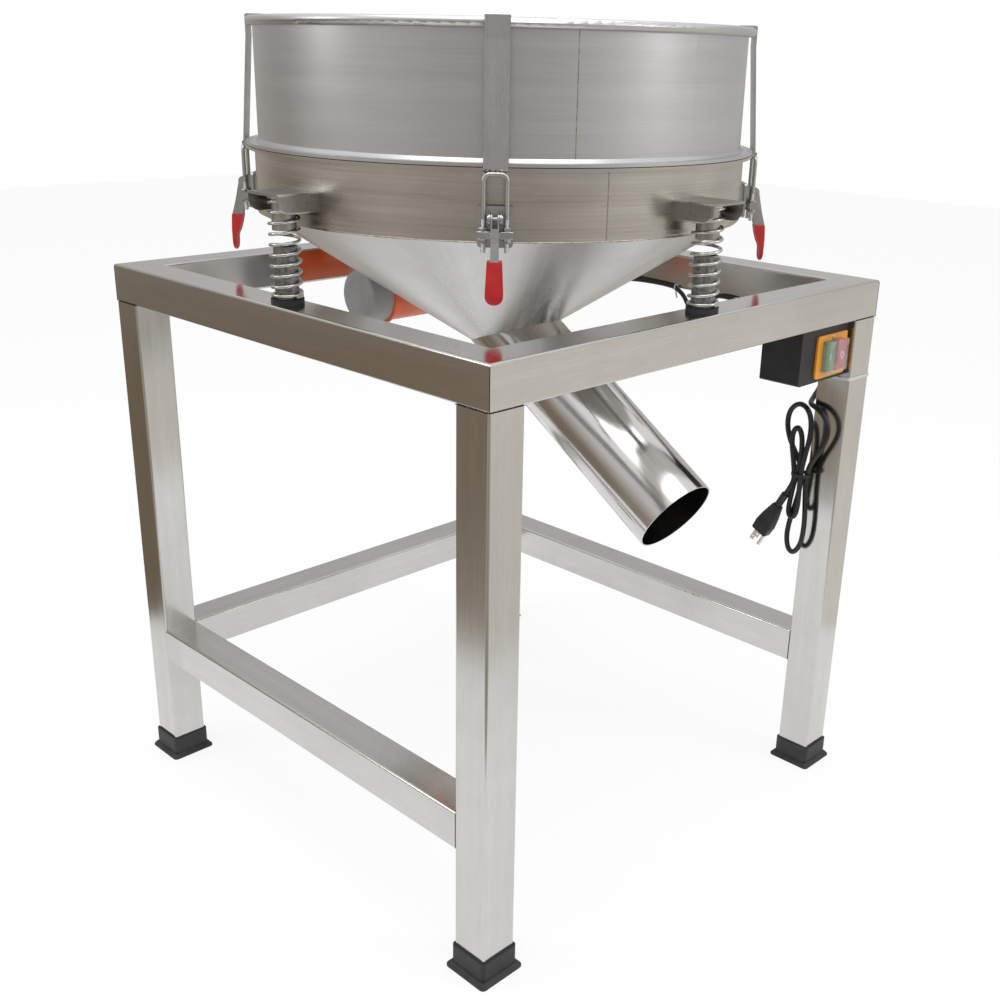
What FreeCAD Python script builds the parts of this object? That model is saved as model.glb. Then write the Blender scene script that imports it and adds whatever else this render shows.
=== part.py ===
import FreeCAD, Part
import math
import os

# Vibrating sieve: an open feed drum and a hopper with a slanted discharge spout, carried on
# four coil springs by a welded frame of square tube. Millimetres, +Z up, +X is the
# discharge side, and the origin is on the floor under the drum's axis.

os.makedirs("parts", exist_ok=True)
V = FreeCAD.Vector
UP = V(0, 0, 1)

# Frame of square tube
TUBE = 50.0
TUBE_WALL = 2.0
TUBE_CORNER = 3.0
FRAME_WIDTH = 736.0
FRAME_HEIGHT = 749.0
STRETCHER_BASE = 166.0
POST_DIA = 28.0
POST_WALL = 2.5
LOWER_POST_HEIGHT = 66.0

# Foot cups
CUP_FLOOR = 5.0
CUP_HEIGHT = 31.5
CUP_WALL = 3.0
CUP_FIT = 0.15
CUP_SKIRT = 5.5
CUP_SKIRT_HEIGHT = 7.0

# Springs and their seats
SPRING_SPAN = 124.0
SPRING_WIRE = 3.8
SPRING_POST_CLEAR = 1.1
SPRING_ACTIVE_HALF_TURNS = 17
SPRING_CLOSED_RISE = 2.1
SPRING_SEAT_CLEAR = 0.3
RING_HEIGHT = 6.0
RING_WALL = 4.3
RING_FIT = 0.2
UPPER_POST_HEIGHT = 40.0

# Spring brackets
BRACKET_WIDTH = 60.0
BRACKET_SHEET = 3.0
BRACKET_DEPTH = 23.0
BRACKET_OVERHANG = 28.0
BRACKET_ROUND = 15.0
BRACKET_TOP_ABOVE_SEAM = 42.0

# Lower body, hopper and spout
SHEET = 2.0
BAND_INSET = 53.0
BAND_HEIGHT = 76.0
FLANGE_REACH = 10.0
FLANGE_THICK = 3.6
CONE_SLOPE = 32.5
SPOUT_RADIUS = 55.0
SPOUT_WALL = 1.8
SPOUT_SLOPE = 33.0
SPOUT_INSET = 42.3
SPOUT_DROP = 1.7
SPOUT_BACK = 20.0

# Feed drum and screen
DRUM_INSET = 5.0
DRUM_HEIGHT = 143.0
BEAD_RADIUS = 5.4
SCREEN_THICK = 1.0
SCREEN_LAND = 15.0
MESH_THICK = 0.6

# Toggle clamps, given in the plane through the drum's axis
CLAMP_PIVOT_OUT = 23.0
CLAMP_PIVOT_RISE = 28.0
PIVOT_PIN_RADIUS = 2.5
PIVOT_CLEAR = 0.08
CARRIER_IN = 4.0
CARRIER_DROP = 17.0
CARRIER_PIN_RADIUS = 3.0
CARRIER_HALF = 4.0
CARRIER_LENGTH = 39.2
CARRIER_GAP = 12.0
BASE_WIDTH = 39.0
BASE_HEIGHT = 44.0
BASE_PLATE = 3.0
BASE_STANDOFF = 6.5
EAR_SHEET = 2.0
EAR_GAP = 10.4
HANDLE_WIDTH = 9.0
HANDLE_SHEET = 1.5
GRIP_TOP = 43.0
GRIP_LENGTH = 46.5
GRIP_WIDTH = 20.0
GRIP_NECK_WIDTH = 16.5
U_BOLT_SPACING = 25.4
U_BOLT_RADIUS = 2.5
U_BOLT_BEND = 7.0
U_BOLT_TOP = 46.0
U_BOLT_TAIL = 19.0
STRAP_WIDTH = 27.0
STRAP_THICK = 2.5
HOOK_SIDE_CLEAR = 1.2
HOOK_TOP_CLEAR = 0.9
HOOK_LIP_CLEAR = 6.8
HOOK_LIP_DEPTH = 5.0
HOOK_BEND = 2.4
SIDES = {"front": 0, "right": 90, "back": 180, "left": 270}
CLAMP_ANGLES = {"front_left": -45.0, "front_right": 45.0, "back_left": -135.0, "back_right": 135.0}

# Vibration motor under the back of the hopper
MOTOR_INSET = 129.0
MOTOR_DROP = 52.5
MOTOR_RADIUS = 40.0
MOTOR_HALF_LENGTH = 60.0
MOTOR_FLANGE_RADIUS = 45.0
MOTOR_FLANGE = 4.0
MOTOR_COVER_LENGTH = 32.0
MOTOR_COVER_RADIUS = 41.0
MOTOR_FACE_RADIUS = 36.0
MOTOR_COVER_WALL = 2.5
MOTOR_FOOT_WIDTH = 76.0
MOTOR_FOOT_LENGTH = 96.0
MOTOR_FOOT_RISE = 41.0
STATOR_BORE = 22.0
ROTOR_RADIUS = 20.0
ROTOR_HALF_LENGTH = 28.0
SHAFT_RADIUS = 6.0
SHAFT_CLEAR = 0.05
BEARING_RADIUS = 16.0
BEARING_WIDTH = 10.0
WEIGHT_RADIUS = 30.0
WEIGHT_WIDTH = 16.0
TERMINAL_BOX = (24.0, 40.0, 32.0)
TERMINAL_SIDE = 4.0

# Switch box under the front rail, against the front right leg
BOX_DEPTH = 61.0
BOX_WIDTH = 114.0
BOX_HEIGHT = 75.0
BOX_WALL = 2.5
BOX_SETBACK = 10.0
BOX_CORNER = 3.0
BOX_JOINT = 0.4
PLATE_WIDTH = 72.0
PLATE_HEIGHT = 58.0
PLATE_THICK = 3.0
PLATE_SIDE = 7.0
PLATE_TOP = 12.0
BUTTON_WIDTH = 22.0
BUTTON_HEIGHT = 40.0
BUTTON_CLEAR = 0.5
BUTTON_GAP = 1.0
BUTTON_PROUD = 6.0
STOP_PROUD = 9.0
BUTTON_BODY = 14.0
COVER_SHEET = 1.0
COVER_CLEAR = 1.5

# Power cord, plug and motor lead
CORD_RADIUS = 3.75
GLAND_RADIUS = 8.0
GLAND_LENGTH = 12.0
GLAND_SIDE_BACK = 9.5
GLAND_DROP = 49.0
LEAD_RADIUS = 3.2
LEAD_LIFT = 0.4
HANK_BEHIND = -67.0
PLUG_NECK = 28.0
PLUG_NECK_RADIUS = 5.5
PLUG_LENGTH = 44.0
PLUG_WIDTH = 27.0
PLUG_DEPTH = 20.0
BLADE_LENGTH = 17.5
BLADE_WIDTH = 6.3
BLADE_THICK = 1.5
BLADE_SPACING = 12.7
GROUND_LENGTH = 20.6
GROUND_RADIUS = 2.4
GROUND_OFFSET = 11.9

# Places that follow from the sizes
HALF = FRAME_WIDTH / 2
LEG_AXIS = HALF - TUBE / 2
RAIL_BASE = FRAME_HEIGHT - TUBE
BAND_RADIUS = HALF - BAND_INSET
FLANGE_RADIUS = BAND_RADIUS + FLANGE_REACH
DRUM_RADIUS = BAND_RADIUS - DRUM_INSET
SPOUT_REACH = HALF - SPOUT_INSET
MOTOR_REACH = BAND_RADIUS - MOTOR_INSET
BRACKET_UNDERSIDE = FRAME_HEIGHT + SPRING_SPAN
SEAM_Z = BRACKET_UNDERSIDE + BRACKET_SHEET - BRACKET_TOP_ABOVE_SEAM
BAND_TOP = SEAM_Z + BAND_HEIGHT
SCREEN_Z = BAND_TOP + FLANGE_THICK
DRUM_BASE = SCREEN_Z + SCREEN_THICK
BEAD_Z = DRUM_BASE + DRUM_HEIGHT
BEAD_CENTRE = DRUM_RADIUS - SHEET + BEAD_RADIUS
BEAD_TOP = BEAD_Z + BEAD_RADIUS
BEAD_OUT = BEAD_CENTRE + BEAD_RADIUS
SLOPE = math.radians(CONE_SLOPE)
FALL = math.radians(SPOUT_SLOPE)
APEX_Z = SEAM_Z - BAND_RADIUS * math.tan(SLOPE)
SPOUT_AXIS_Z = APEX_Z - SPOUT_DROP + SPOUT_RADIUS / math.cos(FALL)
PIVOT_X = BAND_RADIUS + CLAMP_PIVOT_OUT
PIVOT_Z = SEAM_Z + CLAMP_PIVOT_RISE
CARRIER_X = PIVOT_X - CARRIER_IN
CARRIER_Z = PIVOT_Z - CARRIER_DROP
MOTOR_Z = APEX_Z + MOTOR_REACH * math.tan(SLOPE) - MOTOR_DROP
BOX_FRONT = HALF - BOX_SETBACK
BOX_RIGHT = HALF - TUBE - BOX_JOINT
PLATE_Y = BOX_RIGHT - PLATE_SIDE - PLATE_WIDTH / 2
PLATE_Z = RAIL_BASE - PLATE_TOP - PLATE_HEIGHT / 2


def box(x0, x1, y0, y1, z0, z1):
    return Part.makeBox(x1 - x0, y1 - y0, z1 - z0, V(x0, y0, z0))


def cylinder(radius, height, base, direction=UP):
    return Part.makeCylinder(radius, height, base, direction)


def ring(outer, inner, height, base):
    return cylinder(outer, height, base).cut(cylinder(inner, height, base))


def revolve(points):
    """Solid of revolution about Z from (radius, height) points."""
    face = Part.Face(Part.makePolygon([V(r, 0, z) for r, z in points + points[:1]]))
    return face.revolve(V(0, 0, 0), UP, 360)


def plate_xz(points, y0, y1):
    """Plate whose outline is given as (x, z) points, from y0 to y1."""
    face = Part.Face(Part.makePolygon([V(x, y0, z) for x, z in points + points[:1]]))
    return face.extrude(V(0, y1 - y0, 0))


def plate_yz(points, x0, x1):
    face = Part.Face(Part.makePolygon([V(x0, y, z) for y, z in points + points[:1]]))
    return face.extrude(V(x1 - x0, 0, 0))


def turned(shape, degrees):
    copy = shape.copy()
    copy.rotate(V(0, 0, 0), UP, degrees)
    return copy


def fuse(shapes):
    whole = shapes[0].multiFuse(shapes[1:])
    return whole.removeSplitter()


def round_edges(shape, radius, direction, near=None, reach=0.6):
    """Round the straight edges that run along a direction, all of them or those near (x, z)."""
    chosen = []
    for edge in shape.Edges:
        if edge.Curve.TypeId != "Part::GeomLine":
            continue
        along = edge.Vertexes[-1].Point - edge.Vertexes[0].Point
        if along.Length < 1e-6 or abs(abs(along.normalize().dot(direction)) - 1) > 1e-6:
            continue
        middle = edge.CenterOfMass
        if near is None or any(math.hypot(middle.x - x, middle.z - z) < reach for x, z in near):
            chosen.append(edge)
    return shape.makeFillet(radius, chosen)


def export(name, shapes):
    solids = []
    for shape in shapes:
        solids.extend(shape.Solids)
    whole = solids[0] if len(solids) == 1 else Part.makeCompound(solids)
    whole.exportStep("parts/%s.step" % name)
    print(name, len(solids), "solids", round(sum(s.Volume for s in solids) / 1000.0, 1), "cm3")


# ---------------------------------------------------------------- frame

def square_tube(length):
    """Square tube along +Z, centred on the axis, with rounded long corners."""
    half = TUBE / 2
    inner = half - TUBE_WALL
    outside = round_edges(box(-half, half, -half, half, 0, length), TUBE_CORNER, UP)
    inside = box(-inner, inner, -inner, inner, 0, length)
    inside = round_edges(inside, TUBE_CORNER - TUBE_WALL, UP)
    return outside.cut(inside)


def leg(x, y):
    """Leg from the cup's floor to the underside of the top rails."""
    tube = square_tube(RAIL_BASE - CUP_FLOOR)
    tube.translate(V(x, y, CUP_FLOOR))
    return tube


def front_tube(length, base):
    """Level tube across the front of the frame, centred."""
    tube = square_tube(length)
    tube.translate(V(0, 0, -length / 2))
    tube.rotate(V(0, 0, 0), V(1, 0, 0), 90)
    tube.translate(V(LEG_AXIS, 0, base + TUBE / 2))
    return tube


def post(height, base):
    radius = POST_DIA / 2
    return ring(radius, radius - POST_WALL, height, base)


def top_rail():
    """Front rail, mitred at both ends, with the spring's lower post welded on."""
    inner = HALF - TUBE
    outline = [V(HALF, -HALF, RAIL_BASE), V(HALF, HALF, RAIL_BASE), V(inner, inner, RAIL_BASE),
               V(inner, -inner, RAIL_BASE)]
    mitred = Part.Face(Part.makePolygon(outline + outline[:1])).extrude(V(0, 0, TUBE))
    tube = front_tube(FRAME_WIDTH, RAIL_BASE).common(mitred)
    return fuse([tube, post(LOWER_POST_HEIGHT, V(LEG_AXIS, 0, FRAME_HEIGHT))])


def foot_cup(x, y):
    """Pressed-on square cup with a skirt that flares at the floor."""
    half = TUBE / 2
    sleeve = half + CUP_FIT + CUP_WALL
    body = box(-sleeve, sleeve, -sleeve, sleeve, 0, CUP_HEIGHT)
    body = round_edges(body, TUBE_CORNER + CUP_WALL, UP)
    wide = half + CUP_WALL + CUP_SKIRT
    skirt = box(-wide, wide, -wide, wide, 0, CUP_SKIRT_HEIGHT)
    skirt = round_edges(skirt, TUBE_CORNER + CUP_WALL, UP)
    top = [e for e in skirt.Edges if e.BoundBox.ZMin > CUP_SKIRT_HEIGHT - 0.01]
    skirt = skirt.makeChamfer(CUP_SKIRT - 0.8, top)
    pocket = half + CUP_FIT
    hole = box(-pocket, pocket, -pocket, pocket, CUP_FLOOR, CUP_HEIGHT)
    hole = round_edges(hole, TUBE_CORNER, UP)
    whole = fuse([body, skirt]).cut(hole)
    whole.translate(V(x, y, 0))
    return whole


def build_frame():
    corners = {"front_left": (1, -1), "front_right": (1, 1), "back_left": (-1, -1), "back_right": (-1, 1)}
    for name, (sx, sy) in corners.items():
        export("leg_" + name, [leg(sx * LEG_AXIS, sy * LEG_AXIS)])
    export("foot_cups", [foot_cup(sx * LEG_AXIS, sy * LEG_AXIS) for sx, sy in corners.values()])
    rail = top_rail()
    stretcher = front_tube(FRAME_WIDTH - 2 * TUBE, STRETCHER_BASE)
    for name, angle in SIDES.items():
        export("rail_" + name, [turned(rail, angle)])
        if name != "front":
            export("stretcher_" + name, [turned(stretcher, angle)])


# ---------------------------------------------------------------- springs

def coil_spring(base, top):
    """Coil of tilted half turns that meet tangentially, with a closed turn at each end."""
    radius = POST_DIA / 2 + SPRING_POST_CLEAR + SPRING_WIRE / 2
    wire = SPRING_WIRE / 2
    rise = top - base - SPRING_WIRE - 4 * SPRING_CLOSED_RISE
    active = rise / SPRING_ACTIVE_HALF_TURNS
    rises = [SPRING_CLOSED_RISE] * 2 + [active] * SPRING_ACTIVE_HALF_TURNS + [SPRING_CLOSED_RISE] * 2
    edges = []
    z = base + wire
    side = 1
    for step in rises:
        start = V(side * radius, 0, z)
        middle = V(0, side * math.hypot(radius, step / 2), z + step / 2)
        end = V(-side * radius, 0, z + step)
        edges.append(Part.Arc(start, middle, end).toShape())
        z += step
        side = -side
    corners = []
    for i in range(8):
        angle = 2 * math.pi * (i + 0.5) / 8
        corners.append(V(radius + wire * math.cos(angle), 0, base + wire + wire * math.sin(angle)))
    section = Part.makePolygon(corners + corners[:1])
    return Part.Wire(edges).makePipeShell([section], True, False)


def build_springs():
    ring_top = FRAME_HEIGHT + RING_HEIGHT
    bore = POST_DIA / 2 + RING_FIT
    seat = ring(bore + RING_WALL + SPRING_WIRE / 4, bore, RING_HEIGHT, V(LEG_AXIS, 0, FRAME_HEIGHT))
    spring = coil_spring(ring_top + SPRING_SEAT_CLEAR, BRACKET_UNDERSIDE - SPRING_SEAT_CLEAR)
    spring.translate(V(LEG_AXIS, 0, 0))
    export("spring_seat_rings", [turned(seat, a) for a in SIDES.values()])
    for name, angle in SIDES.items():
        export("spring_" + name, [turned(spring, angle)])


# ---------------------------------------------------------------- sieve body

def cone_solid(inset):
    """Full cone below the seam, moved in by a normal distance."""
    drop = inset / math.cos(SLOPE)
    radius = BAND_RADIUS - inset / math.sin(SLOPE)
    apex = APEX_Z + drop
    return Part.makeCone(0, radius, SEAM_Z - apex, V(0, 0, apex))


def spout_cylinder(radius):
    """Round bar along the spout from the back of the mouth to the outlet."""
    axis = V(math.cos(FALL), 0, -math.sin(FALL))
    outlet = V(SPOUT_REACH, 0, SPOUT_AXIS_Z - SPOUT_REACH * math.tan(FALL))
    back = 2 * SPOUT_RADIUS + SPOUT_BACK
    length = (SPOUT_REACH + back) / math.cos(FALL)
    bar = cylinder(radius, length, outlet - axis * length, axis)
    keep = box(-SPOUT_BACK, 2 * SPOUT_REACH, -2 * radius, 2 * radius, 0, BAND_TOP)
    return bar.common(keep)


def hopper_cone():
    outer = cone_solid(0)
    inner = cone_solid(SHEET)
    return outer.cut(inner).cut(spout_cylinder(SPOUT_RADIUS))


def discharge_spout():
    tube = spout_cylinder(SPOUT_RADIUS).cut(spout_cylinder(SPOUT_RADIUS - SPOUT_WALL))
    return tube.cut(cone_solid(SHEET))


def lower_band():
    inner = BAND_RADIUS - SHEET
    return revolve([(inner, SEAM_Z), (BAND_RADIUS, SEAM_Z), (BAND_RADIUS, BAND_TOP),
                    (FLANGE_RADIUS, BAND_TOP), (FLANGE_RADIUS, SCREEN_Z), (inner, SCREEN_Z)])


def feed_drum():
    """Open ring with a rolled bead at the rim and a flared flange at the foot."""
    inner = DRUM_RADIUS - SHEET
    flange_top = DRUM_BASE + FLANGE_THICK
    wall = revolve([(inner, DRUM_BASE), (FLANGE_RADIUS, DRUM_BASE), (FLANGE_RADIUS, flange_top),
                    (DRUM_RADIUS + 3, flange_top), (DRUM_RADIUS, flange_top + 4),
                    (DRUM_RADIUS, BEAD_Z), (inner, BEAD_Z)])
    bead = Part.makeTorus(BEAD_CENTRE, BEAD_RADIUS, V(0, 0, BEAD_Z))
    return fuse([wall, bead])


def spring_bracket():
    """Inverted channel with a guide post, coped to the band; local +X is outward."""
    end = LEG_AXIS + BRACKET_OVERHANG
    top = BRACKET_UNDERSIDE + BRACKET_SHEET
    half = BRACKET_WIDTH / 2
    start = BAND_RADIUS - 20
    block = box(start, end, -half, half, top - BRACKET_DEPTH, top)
    block = round_edges(block, BRACKET_ROUND, V(0, 1, 0), [(end, top - BRACKET_DEPTH)])
    block = round_edges(block, BRACKET_SHEET, V(1, 0, 0), None)
    inside = half - BRACKET_SHEET
    block = block.cut(box(start, end, -inside, inside, top - BRACKET_DEPTH, BRACKET_UNDERSIDE))
    guide = post(UPPER_POST_HEIGHT, V(LEG_AXIS, 0, BRACKET_UNDERSIDE - UPPER_POST_HEIGHT))
    body = fuse([block, guide])
    return body.cut(cylinder(BAND_RADIUS, 2 * BRACKET_DEPTH, V(0, 0, top - 1.5 * BRACKET_DEPTH)))


def build_body():
    export("lower_band", [lower_band()])
    export("hopper_cone", [hopper_cone()])
    export("discharge_spout", [discharge_spout()])
    export("feed_drum", [feed_drum()])
    land = FLANGE_RADIUS - 0.4
    bore = BAND_RADIUS - SHEET - SCREEN_LAND
    export("screen_ring", [ring(land, bore, SCREEN_THICK, V(0, 0, SCREEN_Z))])
    middle = SCREEN_Z + (SCREEN_THICK - MESH_THICK) / 2
    export("screen_mesh", [cylinder(bore, MESH_THICK, V(0, 0, middle))])
    bracket = spring_bracket()
    export("spring_brackets", [turned(bracket, a) for a in SIDES.values()])


# ---------------------------------------------------------------- clamps

def clamp_base():
    """Plate on a stand-off with two ears and the riveted pivot pin."""
    front = BAND_RADIUS + BASE_STANDOFF + BASE_PLATE
    back = front - BASE_PLATE
    low = PIVOT_Z + 12 - BASE_HEIGHT
    block = box(BAND_RADIUS - 20, back, -BASE_WIDTH * 0.38, BASE_WIDTH * 0.38, low + 2, PIVOT_Z + 8)
    block = block.cut(cylinder(BAND_RADIUS, 3 * BASE_HEIGHT, V(0, 0, low - BASE_HEIGHT)))
    plate = box(back, front, -BASE_WIDTH / 2, BASE_WIDTH / 2, low, low + BASE_HEIGHT)
    plate = round_edges(plate, 4, V(1, 0, 0))
    ears = []
    for side in (-1, 1):
        inner = side * EAR_GAP / 2
        outer = side * (EAR_GAP / 2 + EAR_SHEET)
        y0, y1 = min(inner, outer), max(inner, outer)
        web = plate_xz([(front, PIVOT_Z - 9), (PIVOT_X, PIVOT_Z - 6), (PIVOT_X, PIVOT_Z + 6),
                        (front, PIVOT_Z + 10)], y0, y1)
        boss = cylinder(6, EAR_SHEET, V(PIVOT_X, y0, PIVOT_Z), V(0, 1, 0))
        ears.append(fuse([web, boss]))
    reach = EAR_GAP / 2 + EAR_SHEET
    pin = cylinder(PIVOT_PIN_RADIUS, 2 * reach, V(PIVOT_X, -reach, PIVOT_Z), V(0, 1, 0))
    heads = [cylinder(4.2, 1.3, V(PIVOT_X, y, PIVOT_Z), V(0, 1, 0)) for y in (-reach - 1.3, reach)]
    return fuse([block, plate, pin] + ears + heads)


def lever_outline():
    """Side plate of the closed lever, as (x, z) from its pivot."""
    return [(5.6, 2.2), (11.5, -24), (17.0, -GRIP_TOP), (2.6, -GRIP_TOP), (-0.5, -27), (-7.5, -21.2),
            (-9.2, -14.8), (-5.7, 1.8)]


def at_pivot(points):
    return [(PIVOT_X + x, PIVOT_Z + z) for x, z in points]


def tang():
    return plate_xz(at_pivot([(12.6, -GRIP_TOP + 3), (15.4, -GRIP_TOP + 3), (15.9, -80), (13.7, -80)]),
                    -HANDLE_WIDTH / 2, HANDLE_WIDTH / 2)


def clamp_handle():
    """Pressed lever: two side plates joined by a back web, with a tang for the grip."""
    half = HANDLE_WIDTH / 2
    parts = []
    for y0 in (-half, half - HANDLE_SHEET):
        y1 = y0 + HANDLE_SHEET
        side = plate_xz(at_pivot(lever_outline()), y0, y1)
        top = cylinder(6, HANDLE_SHEET, V(PIVOT_X, y0, PIVOT_Z), V(0, 1, 0))
        low = cylinder(5.5, HANDLE_SHEET, V(CARRIER_X, y0, CARRIER_Z), V(0, 1, 0))
        parts.append(fuse([side, top, low]))
    web = [(8.1, -9), (11.5, -24), (17.0, -GRIP_TOP), (15.4, -GRIP_TOP), (10, -24), (6.6, -9)]
    parts.append(plate_xz(at_pivot(web), -half, half))
    parts.append(tang())
    body = fuse(parts)
    for x, z, radius in ((PIVOT_X, PIVOT_Z, PIVOT_PIN_RADIUS), (CARRIER_X, CARRIER_Z, CARRIER_PIN_RADIUS)):
        body = body.cut(cylinder(radius + PIVOT_CLEAR, 4 * half, V(x, -2 * half, z), V(0, 1, 0)))
    return body


def clamp_grip():
    """Soft sleeve: wedge shaped from the side, with a rounded end from the front."""
    side = [(2.6, -GRIP_TOP), (17.0, -GRIP_TOP), (17.8, -62), (17.4, -80), (16.6, -87), (15.2, -89.5),
            (13.6, -89.5), (12.4, -87), (11.9, -73), (10.8, -68.5), (8.3, -64), (5, -54)]
    wedge = plate_xz(at_pivot(side), -GRIP_WIDTH, GRIP_WIDTH)
    half = GRIP_WIDTH / 2
    neck = GRIP_NECK_WIDTH / 2
    end = PIVOT_Z - GRIP_TOP - GRIP_LENGTH
    front = plate_yz([(-neck, PIVOT_Z - GRIP_TOP), (-half, end + half + 4), (-half, end + half),
                      (half, end + half), (half, end + half + 4), (neck, PIVOT_Z - GRIP_TOP)],
                     PIVOT_X - 5, PIVOT_X + 25)
    tip = cylinder(half, 30, V(PIVOT_X - 5, 0, end + half), V(1, 0, 0))
    return wedge.common(fuse([front, tip])).cut(tang())


def clamp_carrier():
    """Trunnion: end blocks for the threaded arms, on a pin through the lever."""
    blocks = []
    for side in (-1, 1):
        y0 = CARRIER_GAP / 2 if side > 0 else -CARRIER_LENGTH / 2
        y1 = y0 + (CARRIER_LENGTH - CARRIER_GAP) / 2
        block = box(CARRIER_X - CARRIER_HALF, CARRIER_X + CARRIER_HALF, y0, y1,
                    CARRIER_Z - CARRIER_HALF, CARRIER_Z + CARRIER_HALF)
        block = round_edges(block, 1.2, V(0, 1, 0))
        hole = cylinder(U_BOLT_RADIUS + PIVOT_CLEAR, 4 * CARRIER_HALF,
                        V(CARRIER_X, side * U_BOLT_SPACING / 2, CARRIER_Z - 2 * CARRIER_HALF))
        blocks.append(block.cut(hole))
    pin = cylinder(CARRIER_PIN_RADIUS, CARRIER_GAP, V(CARRIER_X, -CARRIER_GAP / 2, CARRIER_Z), V(0, 1, 0))
    return fuse(blocks + [pin])


def u_bolt():
    half = U_BOLT_SPACING / 2
    low = CARRIER_Z - U_BOLT_TAIL
    high = PIVOT_Z + U_BOLT_TOP
    bend = U_BOLT_BEND
    edges = []
    edges.append(Part.LineSegment(V(CARRIER_X, -half, low), V(CARRIER_X, -half, high - bend)).toShape())
    inset = bend * (1 - math.cos(math.pi / 4))
    for side in (-1, 1):
        arc = [V(CARRIER_X, side * half, high - bend), V(CARRIER_X, side * (half - inset), high - inset),
               V(CARRIER_X, side * (half - bend), high)]
        if side > 0:
            edges.append(Part.LineSegment(V(CARRIER_X, -half + bend, high),
                                          V(CARRIER_X, half - bend, high)).toShape())
            arc.reverse()
        edges.append(Part.Arc(*arc).toShape())
    edges.append(Part.LineSegment(V(CARRIER_X, half, high - bend), V(CARRIER_X, half, low)).toShape())
    section = Part.Wire(Part.makeCircle(U_BOLT_RADIUS, V(CARRIER_X, -half, low), UP))
    return Part.Wire(edges).makePipeShell([section], True, False)


def hook_strap():
    """Flat strap over the rim's bead, welded at its foot to the closed end of the U-bolt."""
    foot = CARRIER_X - U_BOLT_RADIUS - 0.5
    foot_z = PIVOT_Z + U_BOLT_TOP - 1
    inner = BEAD_OUT + HOOK_SIDE_CLEAR
    knee_z = BEAD_Z - 3 * BEAD_RADIUS
    under = BEAD_TOP + HOOK_TOP_CLEAR
    lip = BEAD_CENTRE - BEAD_RADIUS - HOOK_LIP_CLEAR
    low = BEAD_TOP - HOOK_LIP_DEPTH
    top = under + STRAP_THICK
    outer = inner + STRAP_THICK
    outline = [(foot, foot_z), (inner, knee_z), (inner, under), (lip, under), (lip, low),
               (lip - STRAP_THICK, low), (lip - STRAP_THICK, top), (outer, top), (outer, knee_z),
               (foot + STRAP_THICK, foot_z)]
    strap = plate_xz(outline, -STRAP_WIDTH / 2, STRAP_WIDTH / 2)
    across = V(0, 1, 0)
    strap = round_edges(strap, HOOK_BEND, across, [(lip - STRAP_THICK, top), (outer, top)])
    strap = round_edges(strap, 0.8, across, [(lip, under), (inner, under)])
    return fuse([strap, u_bolt()])


def build_clamps():
    base, handle, grip = clamp_base(), clamp_handle(), clamp_grip()
    carrier, strap = clamp_carrier(), hook_strap()
    export("clamp_bases", [turned(base, a) for a in CLAMP_ANGLES.values()])
    for name, angle in CLAMP_ANGLES.items():
        export("clamp_handle_" + name, [turned(handle, angle)])
        export("clamp_grip_" + name, [turned(grip, angle)])
        export("clamp_carrier_" + name, [turned(carrier, angle)])
        export("hook_strap_" + name, [turned(strap, angle)])


# ---------------------------------------------------------------- motor

def to_motor(shape):
    """From the motor's own frame (Z along its shaft, +X towards the hopper) to its place."""
    placed = shape.copy()
    placed.rotate(V(0, 0, 0), V(1, 0, 0), -90)
    placed.rotate(V(0, 0, 0), V(0, 1, 0), -(90 - CONE_SLOPE))
    placed.translate(V(-MOTOR_REACH, 0, MOTOR_Z))
    return placed


def both_ends(shape):
    return [shape, shape.mirror(V(0, 0, 0), UP)]


def motor_housing():
    """Ribbed body with end walls, bearing seats and a flat foot."""
    length = 2 * MOTOR_HALF_LENGTH
    body = cylinder(MOTOR_RADIUS, length, V(0, 0, -MOTOR_HALF_LENGTH))
    foot = box(MOTOR_RADIUS * 0.55, MOTOR_FOOT_RISE, -MOTOR_FOOT_WIDTH / 2, MOTOR_FOOT_WIDTH / 2,
               -MOTOR_FOOT_LENGTH / 2, MOTOR_FOOT_LENGTH / 2)
    foot = round_edges(foot, 6, V(1, 0, 0))
    flange = cylinder(MOTOR_FLANGE_RADIUS, MOTOR_FLANGE, V(0, 0, MOTOR_HALF_LENGTH))
    solid = fuse([body, foot] + both_ends(flange))
    seat = MOTOR_HALF_LENGTH - BEARING_WIDTH - 2
    stator = cylinder(STATOR_BORE, 2 * seat, V(0, 0, -seat))
    room = cylinder(MOTOR_RADIUS - 5, seat - ROTOR_HALF_LENGTH - 4, V(0, 0, ROTOR_HALF_LENGTH + 2))
    seat_bore = cylinder(BEARING_RADIUS, BEARING_WIDTH + 2, V(0, 0, seat - 2))
    shaft_hole = cylinder(SHAFT_RADIUS + 2, 30, V(0, 0, seat))
    return solid.cut(fuse([stator] + both_ends(room) + both_ends(seat_bore) + both_ends(shaft_hole)))


def motor_cover():
    """Cup over the eccentric weight, with a flat face and a soft outer edge."""
    base = MOTOR_HALF_LENGTH + MOTOR_FLANGE
    end = base + MOTOR_COVER_LENGTH
    wall = MOTOR_COVER_WALL
    return revolve([(MOTOR_COVER_RADIUS - wall, base), (MOTOR_COVER_RADIUS, base),
                    (MOTOR_FACE_RADIUS + 1, end - 5), (MOTOR_FACE_RADIUS - 0.5, end - 1.4),
                    (MOTOR_FACE_RADIUS - 3, end), (0, end), (0, end - wall),
                    (MOTOR_FACE_RADIUS - wall - 1, end - wall)])


def motor_shaft():
    length = 2 * (MOTOR_HALF_LENGTH + MOTOR_FLANGE + 2 + WEIGHT_WIDTH)
    shaft = cylinder(SHAFT_RADIUS, length, V(0, 0, -length / 2))
    core = cylinder(ROTOR_RADIUS, 2 * ROTOR_HALF_LENGTH, V(0, 0, -ROTOR_HALF_LENGTH))
    return fuse([shaft, core])


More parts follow.
